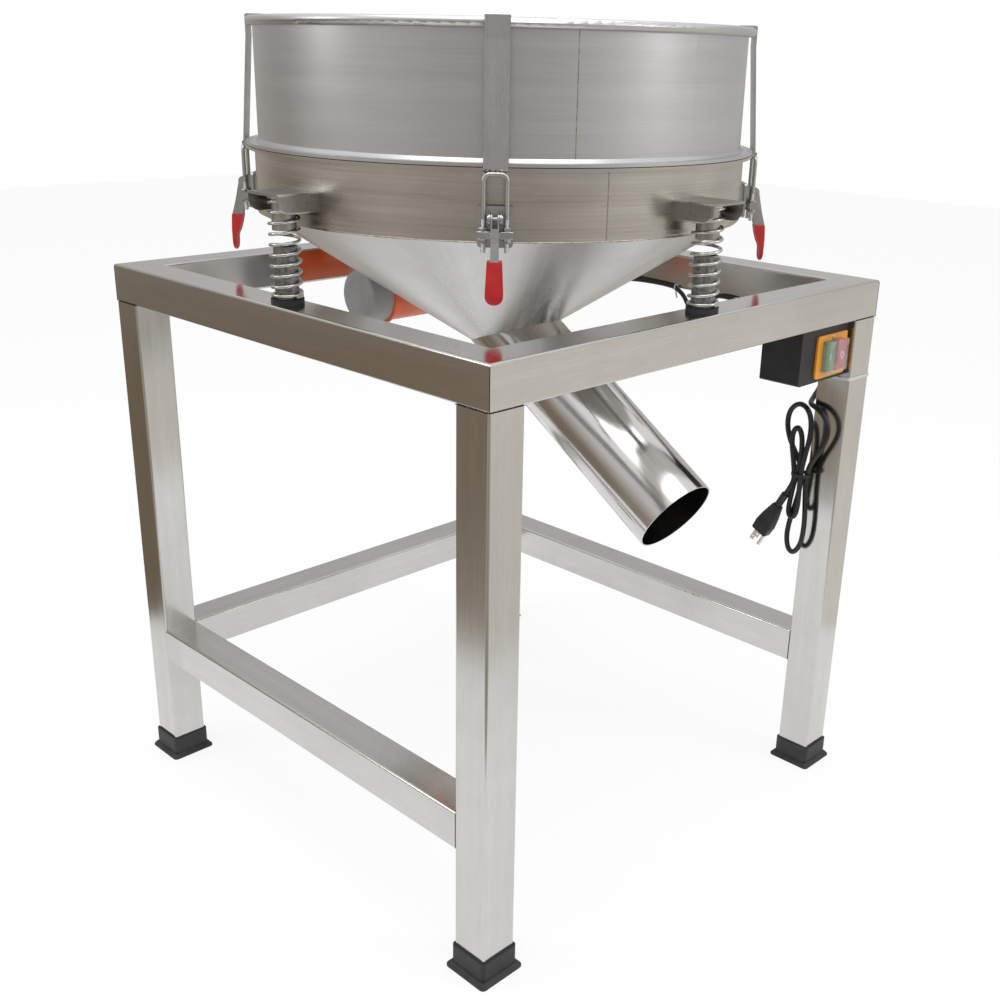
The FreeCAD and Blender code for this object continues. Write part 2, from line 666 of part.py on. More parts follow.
def eccentric_weight():
    """Half disc clamped on the shaft's end."""
    base = MOTOR_HALF_LENGTH + MOTOR_FLANGE + 2
    disc = cylinder(WEIGHT_RADIUS, WEIGHT_WIDTH, V(0, 0, base))
    half = box(-WEIGHT_RADIUS, 0, -WEIGHT_RADIUS, WEIGHT_RADIUS, base, base + WEIGHT_WIDTH)
    hub = cylinder(2 * SHAFT_RADIUS, WEIGHT_WIDTH, V(0, 0, base))
    return fuse([disc.common(half), hub]).cut(cylinder(SHAFT_RADIUS, WEIGHT_WIDTH, V(0, 0, base)))


def bearing():
    low = MOTOR_HALF_LENGTH - BEARING_WIDTH - 2
    return ring(BEARING_RADIUS, SHAFT_RADIUS + SHAFT_CLEAR, BEARING_WIDTH, V(0, 0, low))


def motor_mount():
    """Pad between the motor's foot and the hopper, coped to the hopper and welded on."""
    pad = box(MOTOR_FOOT_RISE, MOTOR_DROP + 6, -MOTOR_FOOT_WIDTH / 2 - 5, MOTOR_FOOT_WIDTH / 2 + 5,
              -MOTOR_FOOT_LENGTH / 2 - 4, MOTOR_FOOT_LENGTH / 2 + 4)
    pad = round_edges(pad, 8, V(1, 0, 0))
    return to_motor(pad).cut(cone_solid(0))


def terminal_box():
    depth, length, width = TERMINAL_BOX
    body = box(-width / 2, width / 2, -MOTOR_RADIUS - depth, -MOTOR_RADIUS + 6,
               TERMINAL_SIDE, TERMINAL_SIDE + length)
    body = round_edges(body, 3, V(0, 1, 0))
    body = body.cut(cylinder(MOTOR_RADIUS, 200, V(0, 0, -100)))
    return to_motor(body)


def build_motor():
    export("motor_mount", [motor_mount()])
    export("motor_housing", [to_motor(motor_housing())])
    export("motor_end_covers", [to_motor(c) for c in both_ends(motor_cover())])
    export("motor_shaft", [to_motor(motor_shaft())])
    export("eccentric_weights", [to_motor(w) for w in both_ends(eccentric_weight())])
    export("motor_bearings", [to_motor(b) for b in both_ends(bearing())])
    export("motor_terminal_box", [terminal_box()])


# ---------------------------------------------------------------- switch

def plate_hole():
    """Opening in the yellow plate for the two push buttons."""
    half_y = BUTTON_WIDTH + BUTTON_GAP / 2 + BUTTON_CLEAR
    half_z = BUTTON_HEIGHT / 2 + BUTTON_CLEAR
    return half_y, half_z


def switch_box():
    left = BOX_RIGHT - BOX_WIDTH
    low = RAIL_BASE - BOX_HEIGHT
    back = BOX_FRONT - BOX_DEPTH
    outer = round_edges(box(back, BOX_FRONT, left, BOX_RIGHT, low, RAIL_BASE), BOX_CORNER, V(1, 0, 0))
    wall = BOX_WALL
    inner = box(back + wall, BOX_FRONT - wall, left + wall, BOX_RIGHT - wall, low + wall, RAIL_BASE - wall)
    half_y, half_z = plate_hole()
    mouth = box(BOX_FRONT - 2 * wall, BOX_FRONT + 1, PLATE_Y - half_y, PLATE_Y + half_y,
                PLATE_Z - half_z, PLATE_Z + half_z)
    exit_hole = cylinder(CORD_RADIUS, 4 * wall,
                         V(back + GLAND_SIDE_BACK, BOX_RIGHT - 2 * wall, RAIL_BASE - GLAND_DROP), V(0, 1, 0))
    return outer.cut(fuse([inner, mouth])).cut(exit_hole)


def switch_plate():
    plate = box(BOX_FRONT, BOX_FRONT + PLATE_THICK, PLATE_Y - PLATE_WIDTH / 2, PLATE_Y + PLATE_WIDTH / 2,
                PLATE_Z - PLATE_HEIGHT / 2, PLATE_Z + PLATE_HEIGHT / 2)
    plate = round_edges(plate, 4, V(1, 0, 0))
    half_y, half_z = plate_hole()
    hole = box(BOX_FRONT - 1, BOX_FRONT + 2 * PLATE_THICK, PLATE_Y - half_y, PLATE_Y + half_y,
               PLATE_Z - half_z, PLATE_Z + half_z)
    return plate.cut(hole)


def button(side, proud):
    """Push button of the pair; side -1 is start and +1 is stop."""
    front = BOX_FRONT + PLATE_THICK + proud
    y0 = PLATE_Y + (BUTTON_GAP / 2 if side > 0 else -BUTTON_GAP / 2 - BUTTON_WIDTH)
    body = box(BOX_FRONT - BUTTON_BODY, front, y0, y0 + BUTTON_WIDTH,
               PLATE_Z - BUTTON_HEIGHT / 2, PLATE_Z + BUTTON_HEIGHT / 2)
    edges = [e for e in body.Edges if e.BoundBox.XMin > front - 0.01]
    return body.makeFillet(1.5, edges)


def button_cover():
    """Clear soft hood over the buttons, seated on the plate's face."""
    half_y, half_z = plate_hole()
    base = BOX_FRONT + PLATE_THICK
    front = base + STOP_PROUD + COVER_CLEAR
    sheet = COVER_SHEET
    outer = box(base, front + sheet, PLATE_Y - half_y - sheet, PLATE_Y + half_y + sheet,
                PLATE_Z - half_z - sheet, PLATE_Z + half_z + sheet)
    edges = [e for e in outer.Edges if e.BoundBox.XMin > front]
    outer = outer.makeFillet(sheet * 0.9, edges)
    inner = box(base, front, PLATE_Y - half_y, PLATE_Y + half_y, PLATE_Z - half_z, PLATE_Z + half_z)
    return outer.cut(inner)


def gland_axis():
    return BOX_FRONT - BOX_DEPTH + GLAND_SIDE_BACK, RAIL_BASE - GLAND_DROP


def cord_gland():
    x, z = gland_axis()
    body = cylinder(GLAND_RADIUS, GLAND_LENGTH, V(x, BOX_RIGHT, z), V(0, 1, 0))
    end = [e for e in body.Edges if e.BoundBox.YMin > BOX_RIGHT + GLAND_LENGTH - 0.01]
    body = body.makeChamfer(2.5, end)
    return body.cut(cylinder(CORD_RADIUS, GLAND_LENGTH, V(x, BOX_RIGHT, z), V(0, 1, 0)))


def build_switch():
    export("switch_box", [switch_box()])
    export("switch_plate", [switch_plate()])
    export("start_button", [button(-1, BUTTON_PROUD)])
    export("stop_button", [button(1, STOP_PROUD)])
    export("button_cover", [button_cover()])
    export("cord_gland", [cord_gland()])


# ---------------------------------------------------------------- cords

def cord_wire(name, points):
    """Straight runs joined by tangent arcs, as a flexible cord lies."""
    edges = []
    here = points[0]
    radii = []
    length = 0.0
    for before, corner, after in zip(points, points[1:], points[2:]):
        a = (before - corner)
        b = (after - corner)
        shorter = min(a.Length, b.Length)
        a.normalize()
        b.normalize()
        turn = math.pi - math.acos(max(-1.0, min(1.0, a.dot(b))))
        setback = 0.45 * shorter
        radius = setback / math.tan(turn / 2)
        radii.append(round(radius, 1))
        start = corner + a * setback
        end = corner + b * setback
        bisector = (a + b).normalize()
        centre = corner + bisector * (radius / math.cos(turn / 2))
        middle = centre - bisector * radius
        edges.append(Part.LineSegment(here, start).toShape())
        edges.append(Part.Arc(start, middle, end).toShape())
        length += here.distanceToPoint(start) + radius * turn
        here = end
    edges.append(Part.LineSegment(here, points[-1]).toShape())
    length += here.distanceToPoint(points[-1])
    print(name, "radii", radii, "length", round(length, 1))
    return Part.Wire(edges), length


def cord_tube(name, points, radius):
    wire, length = cord_wire(name, points)
    direction = (points[1] - points[0]).normalize()
    section = Part.Wire(Part.makeCircle(radius, points[0], direction))
    tube = wire.makePipeShell([section], True, False)
    print(name, "volume ratio", round(tube.Volume / (math.pi * radius * radius * length), 4))
    return tube


def by_corner(x, y, z):
    """Place given from the point under the rails at the frame's front right corner."""
    return V(HALF + x, HALF + y, RAIL_BASE + z)


def power_cord_route():
    """From the gland round the back of the leg, then the small loop down to the tie."""
    x, z = gland_axis()
    start = V(x, BOX_RIGHT + GLAND_LENGTH, z)
    rest = [(-61.5, -19, -51), (-63, -4, -67), (-65, -2, -91), (-65, -15, -111), (-62, -35, -122),
            (-55, -55, -126), (-38, -62, -128), (-21, -64, -139), (-14, -65, -159), (-20, -66, -180),
            (-31, -67, -199), (-41, -67, -217), (-48, -67, -236)]
    return [start] + [by_corner(*place) for place in rest]


def cord_tail_route():
    """From the tied middle of the hank to the plug."""
    places = [(-52, -72, -221), (-53.5, -75.5, -235), (-58.4, -78, -247), (-64.4, -79, -259)]
    return [by_corner(*place) for place in places]


def plug_axis():
    route = cord_tail_route()
    return (route[-1] - route[-2]).normalize()


def in_plug_frame(shape):
    """From +Z along the plug's length and +X across its width to where the plug hangs."""
    along = plug_axis()
    across = V(along.z, 0, -along.x).normalize() * -1
    third = along.cross(across)
    end = cord_tail_route()[-1]
    matrix = FreeCAD.Matrix(across.x, third.x, along.x, end.x, across.y, third.y, along.y, end.y,
                            across.z, third.z, along.z, end.z, 0, 0, 0, 1)
    placed = shape.copy()
    placed.Placement = FreeCAD.Placement(matrix)
    return placed


def plug_body():
    """Moulded plug: ribless strain relief that widens to a flat-faced body."""
    neck = cylinder(PLUG_NECK_RADIUS, PLUG_NECK, V(0, 0, 0))
    wires = []
    for z, wide, deep in ((PLUG_NECK - 6, 0.5, 0.62), (PLUG_NECK + 16, 0.85, 0.92),
                          (PLUG_NECK + 30, 1.0, 1.0), (PLUG_NECK + PLUG_LENGTH, 0.94, 0.96)):
        x, y = wide * PLUG_WIDTH / 2, deep * PLUG_DEPTH / 2
        r = 0.35 * min(x, y)
        corner = round_edges(box(-x, x, -y, y, z, z + 1), r, UP)
        outline = [f for f in corner.Faces if abs(f.CenterOfMass.z - z) < 1e-6][0].OuterWire
        wires.append(outline)
    body = Part.makeLoft(wires, True, True)
    return in_plug_frame(fuse([neck, body]))


def plug_blades():
    base = PLUG_NECK + PLUG_LENGTH
    blades = []
    for side in (-1, 1):
        y = side * BLADE_SPACING / 2
        blade = box(-BLADE_WIDTH / 2 - 3, BLADE_WIDTH / 2 - 3, y - BLADE_THICK / 2, y + BLADE_THICK / 2,
                    base, base + BLADE_LENGTH)
        hole = cylinder(1.5, 4, V(-3, y - 2, base + BLADE_LENGTH - 5), V(0, 1, 0))
        blades.append(blade.cut(hole))
    ground = cylinder(GROUND_RADIUS, GROUND_LENGTH, V(GROUND_OFFSET - 3.4, 0, base))
    return [in_plug_frame(b) for b in blades + [ground]]


def cord_hank():
    """Outer shape of the tied hank: wide loops above the tie, a slim bundle below."""
    levels = [(-353, -55, 5, 6), (-339, -55, 11, 8), (-314, -53, 12, 9), (-289, -50, 11, 10),
              (-259, -50, 9, 10), (-229, -52, 9.5, 10.5), (-204, -56, 17, 10.5), (-179, -60, 21, 10.5),
              (-154, -63, 22, 10), (-134, -62, 18, 9), (-123, -61, 8, 6)]
    wires = []
    for z, x, wide, deep in levels:
        centre = by_corner(x, HANK_BEHIND, z)
        curve = Part.Ellipse(centre, max(wide, deep), min(wide, deep))
        wire = Part.Wire(curve.toShape())
        if deep > wide:
            wire.rotate(centre, UP, 90)
        wires.append(wire)
    return Part.makeLoft(wires, True, False)


def motor_lead_route():
    """From the terminal box across to the right rail, along it and into the switch box."""
    depth = MOTOR_RADIUS + TERMINAL_BOX[0] / 2
    x0 = -MOTOR_REACH - depth * math.cos(SLOPE)
    z0 = MOTOR_Z + depth * math.sin(SLOPE)
    back = BOX_FRONT - BOX_DEPTH
    start = V(x0, TERMINAL_SIDE + TERMINAL_BOX[1] + LEAD_LIFT, z0)
    past_cover = V(x0, MOTOR_HALF_LENGTH + MOTOR_FLANGE + MOTOR_COVER_LENGTH + 8, z0 - 1)
    rest = [(-582, -228, 14), (-560, -192, 7), (-530, -156, 3), (-494, -118, 1), (-454, -86, 1.5),
            (-412, -65, 3), (-366, -55.5, 4.5), (-328, -54, 4), (-306, -54, 2), (-290, -54, -8),
            (-281, -54, -22), (-268, -54, -28), (-254, -54, -22), (-243, -54, -8), (-228, -54.5, 1),
            (-206, -55.5, 1.5), (-164, -57, -6), (-122, -63, -16), (-89, -72, -22.8)]
    end = by_corner(0, -75, -23.5)
    end.x = back
    return [start, past_cover] + [by_corner(*place) for place in rest] + [end]


def build_cords():
    route = power_cord_route()
    cord = cord_tube("power_cord", route, CORD_RADIUS)
    tail = cord_tube("cord_tail", cord_tail_route(), CORD_RADIUS)
    export("power_cord", [cord])
    export("cord_tail", [tail])
    export("cord_hank", [cord_hank().cut(cord).cut(tail)])
    export("plug_body", [plug_body()])
    export("plug_blades", plug_blades())
    export("motor_lead", [cord_tube("motor_lead", motor_lead_route(), LEAD_RADIUS)])


build_frame()
build_springs()
build_body()
build_clamps()
build_motor()
build_switch()
build_cords()
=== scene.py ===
# %% [markdown]
# # A vibrating sieve on a square-tube stand
# The CAD model is loaded as a fixed frame, and this lesson dresses it: the light, the steel
# finishes, the springs, the cord and the small hardware that a drawing leaves out.

# %% Load the frame
import math
import random

import bmesh
import bpy
from mathutils import Matrix, Vector


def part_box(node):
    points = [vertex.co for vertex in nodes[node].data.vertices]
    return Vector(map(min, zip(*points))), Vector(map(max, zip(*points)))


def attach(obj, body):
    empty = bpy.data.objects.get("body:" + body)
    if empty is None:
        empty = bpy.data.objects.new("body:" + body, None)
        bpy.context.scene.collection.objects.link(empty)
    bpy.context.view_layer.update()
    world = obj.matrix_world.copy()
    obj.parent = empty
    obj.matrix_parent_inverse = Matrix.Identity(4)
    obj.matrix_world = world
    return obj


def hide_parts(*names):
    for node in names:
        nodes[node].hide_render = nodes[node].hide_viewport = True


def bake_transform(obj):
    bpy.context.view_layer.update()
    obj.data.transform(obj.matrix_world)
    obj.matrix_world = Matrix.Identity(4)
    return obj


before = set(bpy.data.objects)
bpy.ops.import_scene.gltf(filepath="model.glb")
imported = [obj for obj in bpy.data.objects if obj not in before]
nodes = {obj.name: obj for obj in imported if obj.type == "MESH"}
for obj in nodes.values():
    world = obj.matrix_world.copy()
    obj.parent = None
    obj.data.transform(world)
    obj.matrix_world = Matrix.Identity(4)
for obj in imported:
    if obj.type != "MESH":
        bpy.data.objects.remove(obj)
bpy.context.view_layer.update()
MM = 0.001
random.seed(7)


# %% [markdown]
# ## Camera
# The stand is seen from a little above its top, over the corner between its left and front
# sides. A lens of about 44 mm keeps the legs' gentle convergence. The camera is set by where
# it stands and by its turn, pitch and roll, because a shiny object is lined up by its edges.

# %% Camera
def place_camera(place, turn, pitch, roll, lens, shift):
    data = bpy.data.cameras.new("studio_camera")
    data.lens = lens
    data.shift_x, data.shift_y = shift
    camera = bpy.data.objects.new("studio_camera", data)
    bpy.context.collection.objects.link(camera)
    turn, pitch, roll = math.radians(turn), math.radians(pitch), math.radians(roll)
    ahead = Vector((math.cos(turn) * math.cos(pitch), math.sin(turn) * math.cos(pitch),
                    -math.sin(pitch)))
    level = Vector((math.sin(turn), -math.cos(turn), 0))
    above = level.cross(ahead)
    right = level * math.cos(roll) + above * math.sin(roll)
    up = above * math.cos(roll) - level * math.sin(roll)
    axes = Matrix((right, up, -ahead)).transposed().to_4x4()
    camera.matrix_world = Matrix.Translation(place) @ axes
    bpy.context.scene.camera = camera
    print("camera at", tuple(place))


place_camera((1.19204, -1.15969, 1.0317), turn=134.0446, pitch=20.8967, roll=1.3852,
             lens=43.831, shift=(-0.0301, 0.0147))
bpy.context.scene.view_settings.view_transform = "Standard"


# %% [markdown]
# ## Nodes without tears
# Every finish below is a small graph. These helpers add a node with its inputs set and link
# sockets by name, so that each material reads as a list of what it is made of.

# %% Node helpers
def add(tree, kind, inputs=None, **settings):
    """A node with its settings; an input that is a socket is linked, any other value is set."""
    node = tree.nodes.new(kind)
    for key, value in settings.items():
        setattr(node, key, value)
    for key, value in (inputs or {}).items():
        if isinstance(value, bpy.types.NodeSocket):
            tree.links.new(value, node.inputs[key])
        else:
            node.inputs[key].default_value = value
    return node


def ramp(tree, fac, stops):
    """Colour ramp from (place, (r, g, b)) stops."""
    node = add(tree, "ShaderNodeValToRGB", {"Fac": fac})
    marks = node.color_ramp.elements
    while len(marks) < len(stops):
        marks.new(0.5)
    for mark, (place, colour) in zip(marks, stops):
        mark.position = place
        mark.color = (*colour, 1)
    return node.outputs["Color"]


def math_node(tree, operation, a, b=0.0):
    node = tree.nodes.new("ShaderNodeMath")
    node.operation = operation
    for socket, value in zip(node.inputs, (a, b)):
        if isinstance(value, bpy.types.NodeSocket):
            tree.links.new(value, socket)
        else:
            socket.default_value = value
    return node.outputs[0]


def scale_range(tree, value, low, high, from_low=0.0, from_high=1.0):
    return add(tree, "ShaderNodeMapRange", {"Value": value, "From Min": from_low, "From Max": from_high,
                                            "To Min": low, "To Max": high}).outputs["Result"]


def mix_colour(tree, fac, a, b, blend="MIX"):
    node = tree.nodes.new("ShaderNodeMix")
    node.data_type = "RGBA"
    node.blend_type = blend
    for socket, value in ((node.inputs[0], fac), (node.inputs[6], a), (node.inputs[7], b)):
        if isinstance(value, bpy.types.NodeSocket):
            tree.links.new(value, socket)
        elif socket.type == "RGBA":
            socket.default_value = (*value, 1)
        else:
            socket.default_value = value
    return node.outputs[2]


def new_group(name, inputs, outputs):
    """Empty shader group; inputs are (name, kind, default) and outputs are (name, kind)."""
    tree = bpy.data.node_groups.new(name, "ShaderNodeTree")
    for label, kind, default in inputs:
        socket = tree.interface.new_socket(label, in_out="INPUT", socket_type="NodeSocket" + kind)
        socket.default_value = default
    for label, kind in outputs:
        tree.interface.new_socket(label, in_out="OUTPUT", socket_type="NodeSocket" + kind)
    ends = tree.nodes.new("NodeGroupInput"), tree.nodes.new("NodeGroupOutput")
    return tree, ends[0].outputs, ends[1].inputs


def use_group(tree, group, inputs):
    """A group's outputs, with its inputs linked or set."""
    node = tree.nodes.new("ShaderNodeGroup")
    node.node_tree = group
    for key, value in inputs.items():
        if isinstance(value, bpy.types.NodeSocket):
            tree.links.new(value, node.inputs[key])
        else:
            node.inputs[key].default_value = value
    return node.outputs


def new_material(name):
    """Material with a Principled shader; returns it, its tree and the shader."""
    material = bpy.data.materials.new(name)
    material.use_nodes = True
    tree = material.node_tree
    return material, tree, tree.nodes["Principled BSDF"]


def object_place(tree):
    return add(tree, "ShaderNodeTexCoord").outputs["Object"]


print("node helpers ready")


# %% [markdown]
# ## Studio
# Polished steel shows its room. A white sheet on the floor lights the lower legs, and around it stands
# a ring of grey and warm sectors that is painted reflection: it glows, is seen only in mirrored rays,
# lights nothing and casts no shadow, and so paints the shiny metal's soft darks. Floor and backdrop
# are white to the camera and to mirrored rays, while the floor keeps the object's shadow.

# %% Floor, backdrop and lamps
FLOOR_HALF = 8.0
FLOOR_GAP = 0.0006


def camera_or_mirror(tree):
    """1 for rays from the camera and for mirrored or refracted rays."""
    path = add(tree, "ShaderNodeLightPath").outputs
    seen = math_node(tree, "MAXIMUM", path["Is Camera Ray"], path["Is Glossy Ray"])
    return math_node(tree, "MAXIMUM", seen, path["Is Transmission Ray"])


def build_world():
    world = bpy.data.worlds.new("studio_world")
    bpy.context.scene.world = world
    world.use_nodes = True
    tree = world.node_tree
    tree.nodes.clear()
    room = add(tree, "ShaderNodeBackground", {"Color": (0.62, 0.63, 0.65, 1), "Strength": 1.0})
    white = add(tree, "ShaderNodeBackground", {"Color": (1, 1, 1, 1), "Strength": 1.0})
    both = add(tree, "ShaderNodeMixShader", {0: camera_or_mirror(tree), 1: room.outputs[0],
                                             2: white.outputs[0]})
    add(tree, "ShaderNodeOutputWorld", {"Surface": both.outputs[0]})


def build_floor():
    half = FLOOR_HALF
    mesh = bpy.data.meshes.new("floor")
    mesh.from_pydata([(-half, -half, 0), (half, -half, 0), (half, half, 0), (-half, half, 0)], [],
                     [(0, 1, 2, 3)])
    floor = bpy.data.objects.new("floor", mesh)
    floor.location.z = -FLOOR_GAP
    bpy.context.collection.objects.link(floor)
    material = bpy.data.materials.new("floor_paper")
    material.use_nodes = True
    tree = material.node_tree
    tree.nodes.clear()
    paper = add(tree, "ShaderNodeBsdfDiffuse", {"Color": (0.8, 0.8, 0.8, 1)})
    faint = add(tree, "ShaderNodeBsdfDiffuse", {"Color": (0.16, 0.16, 0.16, 1)})
    glow = add(tree, "ShaderNodeEmission", {"Color": (1, 1, 1, 1), "Strength": 0.86})
    lifted = add(tree, "ShaderNodeAddShader", {0: faint.outputs[0], 1: glow.outputs[0]})
    both = add(tree, "ShaderNodeMixShader", {0: camera_or_mirror(tree), 1: paper.outputs[0],
                                             2: lifted.outputs[0]})
    add(tree, "ShaderNodeOutputMaterial", {"Surface": both.outputs[0]})
    mesh.materials.append(material)


def soft_box(name, place, aim, size, power):
    data = bpy.data.lights.new(name, "AREA")
    data.shape = "RECTANGLE"
    data.size, data.size_y = size
    data.energy = power
    lamp = bpy.data.objects.new(name, data)
    lamp.location = place
    lamp.rotation_euler = (Vector(aim) - Vector(place)).to_track_quat("-Z", "Y").to_euler()
    bpy.context.collection.objects.link(lamp)


build_world()
build_floor()
soft_box("overhead_soft_box", (0.3, -0.3, 2.9), (0, 0, 0.6), (2.4, 2.4), 34)
soft_box("left_soft_box", (-1.6, -2.3, 1.7), (0, 0, 0.6), (0.5, 1.8), 12)
soft_box("right_soft_box", (2.4, 1.2, 1.9), (0, 0, 0.6), (0.5, 1.8), 12)
print("lamps", len(bpy.data.lights))


# %% [markdown]
# ## Reflection tent
# The tent is painted reflection: a glowing ring on the floor beyond the white sheet and a glowing wall
# behind it, seen only in mirrored rays. It could be a set of separate cards, but one mesh with a colour
# at each point blends from card to card and leaves no hard joint in the steel.

# %% Reflection tent
TENT_RADIUS = 3.0
TENT_TOP = 2.6
SHEET_EDGE = 0.98
RING_MIDDLE = 1.6
RING_LIFT = 0.002
# Sectors of the tent's painted reflection: direction in degrees, then its colour low down and high up.
REFLECTION_PAINT_SECTORS = [(-180, (0.42, 0.37, 0.31), (0.55, 0.55, 0.55)),
                (-150, (0.20, 0.155, 0.11), (0.50, 0.49, 0.48)),
                (-120, (0.26, 0.21, 0.16), (0.60, 0.60, 0.61)),
                (-95, (0.50, 0.45, 0.39), (0.74, 0.74, 0.76)),
                (-70, (0.40, 0.36, 0.31), (0.58, 0.58, 0.60)),
                (-45, (0.36, 0.32, 0.27), (0.50, 0.50, 0.52)),
                (-20, (0.46, 0.42, 0.37), (0.60, 0.60, 0.62)),
                (10, (0.72, 0.69, 0.64), (0.72, 0.72, 0.73)),
                (50, (0.82, 0.79, 0.74), (0.66, 0.66, 0.66)),
                (90, (0.60, 0.57, 0.52), (0.60, 0.60, 0.60)),
                (135, (0.50, 0.48, 0.45), (0.62, 0.62, 0.62)),
                (180, (0.42, 0.37, 0.31), (0.55, 0.55, 0.55))]


def reflection_paint_colour(degrees, high):
    for (a, low_a, high_a), (b, low_b, high_b) in zip(REFLECTION_PAINT_SECTORS, REFLECTION_PAINT_SECTORS[1:]):
        if a <= degrees <= b:
            share = (degrees - a) / (b - a)
            low = Vector(low_a).lerp(Vector(low_b), share)
            return low.lerp(Vector(high_a).lerp(Vector(high_b), share), high)


def build_tent():
    """Painted reflection: glowing floor ring beyond the white sheet and glowing wall, coloured by direction
    and height.
    """
    steps = 72
    rings = [(SHEET_EDGE, RING_LIFT, 0.0), (RING_MIDDLE, RING_LIFT, 0.0), (TENT_RADIUS, RING_LIFT, 0.0),
             (TENT_RADIUS, 0.7, 0.35), (TENT_RADIUS, 1.3, 0.8), (TENT_RADIUS, TENT_TOP, 1.0)]
    verts, colours, faces = [], [], []
    for radius, z, high in rings:
        for i in range(steps + 1):
            degrees = -180 + 360 * i / steps
            angle = math.radians(degrees)
            verts.append((radius * math.cos(angle), radius * math.sin(angle), z))
            colours.append(reflection_paint_colour(degrees, high))
    for r in range(len(rings) - 1):
        for i in range(steps):
            a = r * (steps + 1) + i
            faces.append((a, a + 1, a + steps + 2, a + steps + 1))
    mesh = bpy.data.meshes.new("reflection_tent")
    mesh.from_pydata(verts, [], faces)
    paint = mesh.color_attributes.new("reflection_paint", "FLOAT_COLOR", "POINT")
    for i, colour in enumerate(colours):
        paint.data[i].color = (*colour, 1)
    tent = bpy.data.objects.new("reflection_tent", mesh)
    bpy.context.collection.objects.link(tent)
    material = bpy.data.materials.new("painted_reflection_glow")
    material.use_nodes = True
    tree = material.node_tree
    tree.nodes.clear()
    # Painted reflection: this colour glows, is hidden from the camera and lights nothing, so it shows only as
    # reflection in the metal.
    reflection_paint = add(tree, "ShaderNodeAttribute", None, attribute_name="reflection_paint")
    glow = add(tree, "ShaderNodeEmission", {"Color": reflection_paint.outputs["Color"], "Strength": 1.0})
    add(tree, "ShaderNodeOutputMaterial", {"Surface": glow.outputs[0]})
    mesh.materials.append(material)
    tent.visible_camera = False
    tent.visible_diffuse = False
    tent.visible_shadow = False
    tent.visible_transmission = False


build_tent()
print("tent sectors", len(REFLECTION_PAINT_SECTORS))


# %% [markdown]
# ## Shared surface effects
# Four effects come back in many finishes, so each is a node group with named inputs. Grain is a
# noise stretched along the brushing, whose broad streaks along it are painted reflection in the steel's
# tone, smudge is the slow blotching of handled steel, grit is a fine bump, and round place turns the
# grain about the drum's axis for sheet that was rolled.

# %% Grain with painted reflection streaks, smudge and grit groups
ROUND_RADIUS = 0.3


def build_grain_and_streaks():
    """Brushing: fine noise squeezed across the strokes, with broad streaks along them that are painted
    reflection in the tone; Stretch is the scale along X, Y and Z.
    """
    tree, given, out = new_group("brushed_grain_and_painted_streaks",
                                 [("Place", "Vector", (0, 0, 0)), ("Stretch", "Vector", (1, 1, 1)),
                                  ("Low", "Float", 0.2), ("High", "Float", 0.3)],
                                 [("Rough", "Float"), ("Tone", "Float"), ("Height", "Float")])
    stretched = add(tree, "ShaderNodeVectorMath", {0: given["Place"], 1: given["Stretch"]},
                    operation="MULTIPLY").outputs[0]
    fine = add(tree, "ShaderNodeTexNoise", {"Vector": stretched, "Scale": 3.0, "Detail": 4.0,
                                            "Roughness": 0.65}).outputs["Fac"]
    # Painted reflection: broad streaks along the brushing lighten and darken the tone like reflected bands;
    # they also vary the roughness.
    painted_reflection_streaks = add(tree, "ShaderNodeTexNoise", {"Vector": stretched, "Scale": 0.22,
                                            "Detail": 2.0}).outputs["Fac"]
    both = math_node(tree, "ADD", math_node(tree, "MULTIPLY", fine, 0.6),
                     math_node(tree, "MULTIPLY", painted_reflection_streaks, 0.4))
    tree.links.new(scale_range(tree, both, given["Low"], given["High"], 0.3, 0.7), out["Rough"])
    tree.links.new(scale_range(tree, both, 0, 1, 0.3, 0.7), out["Tone"])
    tree.links.new(fine, out["Height"])
    return tree


def build_smudge():
    """Slow blotches, 0 to 1, from a single noise."""
    tree, given, out = new_group("handling_smudge",
                                 [("Place", "Vector", (0, 0, 0)), ("Size", "Float", 6.0)],
                                 [("Mask", "Float")])
    soft = add(tree, "ShaderNodeTexNoise", {"Vector": given["Place"], "Scale": given["Size"],
                                            "Detail": 5.0, "Roughness": 0.6, "Distortion": 0.6})
    tree.links.new(scale_range(tree, soft.outputs["Fac"], 0, 1, 0.38, 0.68), out["Mask"])
    return tree


def build_grit():
    """Fine surface texture as a normal, from a noise at the given size."""
    tree, given, out = new_group("fine_grit",
                                 [("Place", "Vector", (0, 0, 0)), ("Size", "Float", 900.0),
                                  ("Depth", "Float", 0.1)],
                                 [("Normal", "Vector"), ("Fac", "Float")])
    noise = add(tree, "ShaderNodeTexNoise", {"Vector": given["Place"], "Scale": given["Size"],
                                             "Detail": 3.0}).outputs["Fac"]
    bump = add(tree, "ShaderNodeBump", {"Height": noise, "Strength": given["Depth"],
                                        "Distance": 0.0006})
    tree.links.new(bump.outputs["Normal"], out["Normal"])
    tree.links.new(noise, out["Fac"])
    return tree


def build_round_place():
    """Turns a place into way round, radius and height about the drum's axis, in metres."""
    tree, given, out = new_group("round_place", [("Place", "Vector", (0, 0, 0))], [("Place", "Vector")])
    parts = add(tree, "ShaderNodeSeparateXYZ", {"Vector": given["Place"]}).outputs
    angle = math_node(tree, "ARCTAN2", parts["Y"], parts["X"])
    across = math_node(tree, "MULTIPLY", angle, ROUND_RADIUS)
    square = math_node(tree, "ADD", math_node(tree, "MULTIPLY", parts["X"], parts["X"]),
                       math_node(tree, "MULTIPLY", parts["Y"], parts["Y"]))
    radius = math_node(tree, "SQRT", square)
    joined = add(tree, "ShaderNodeCombineXYZ", {"X": across, "Y": radius, "Z": parts["Z"]})
    tree.links.new(joined.outputs[0], out["Place"])
    return tree


GRAIN_AND_STREAKS = build_grain_and_streaks()
SMUDGE = build_smudge()
GRIT = build_grit()
ROUND_PLACE = build_round_place()
print("shader groups", len(bpy.data.node_groups))
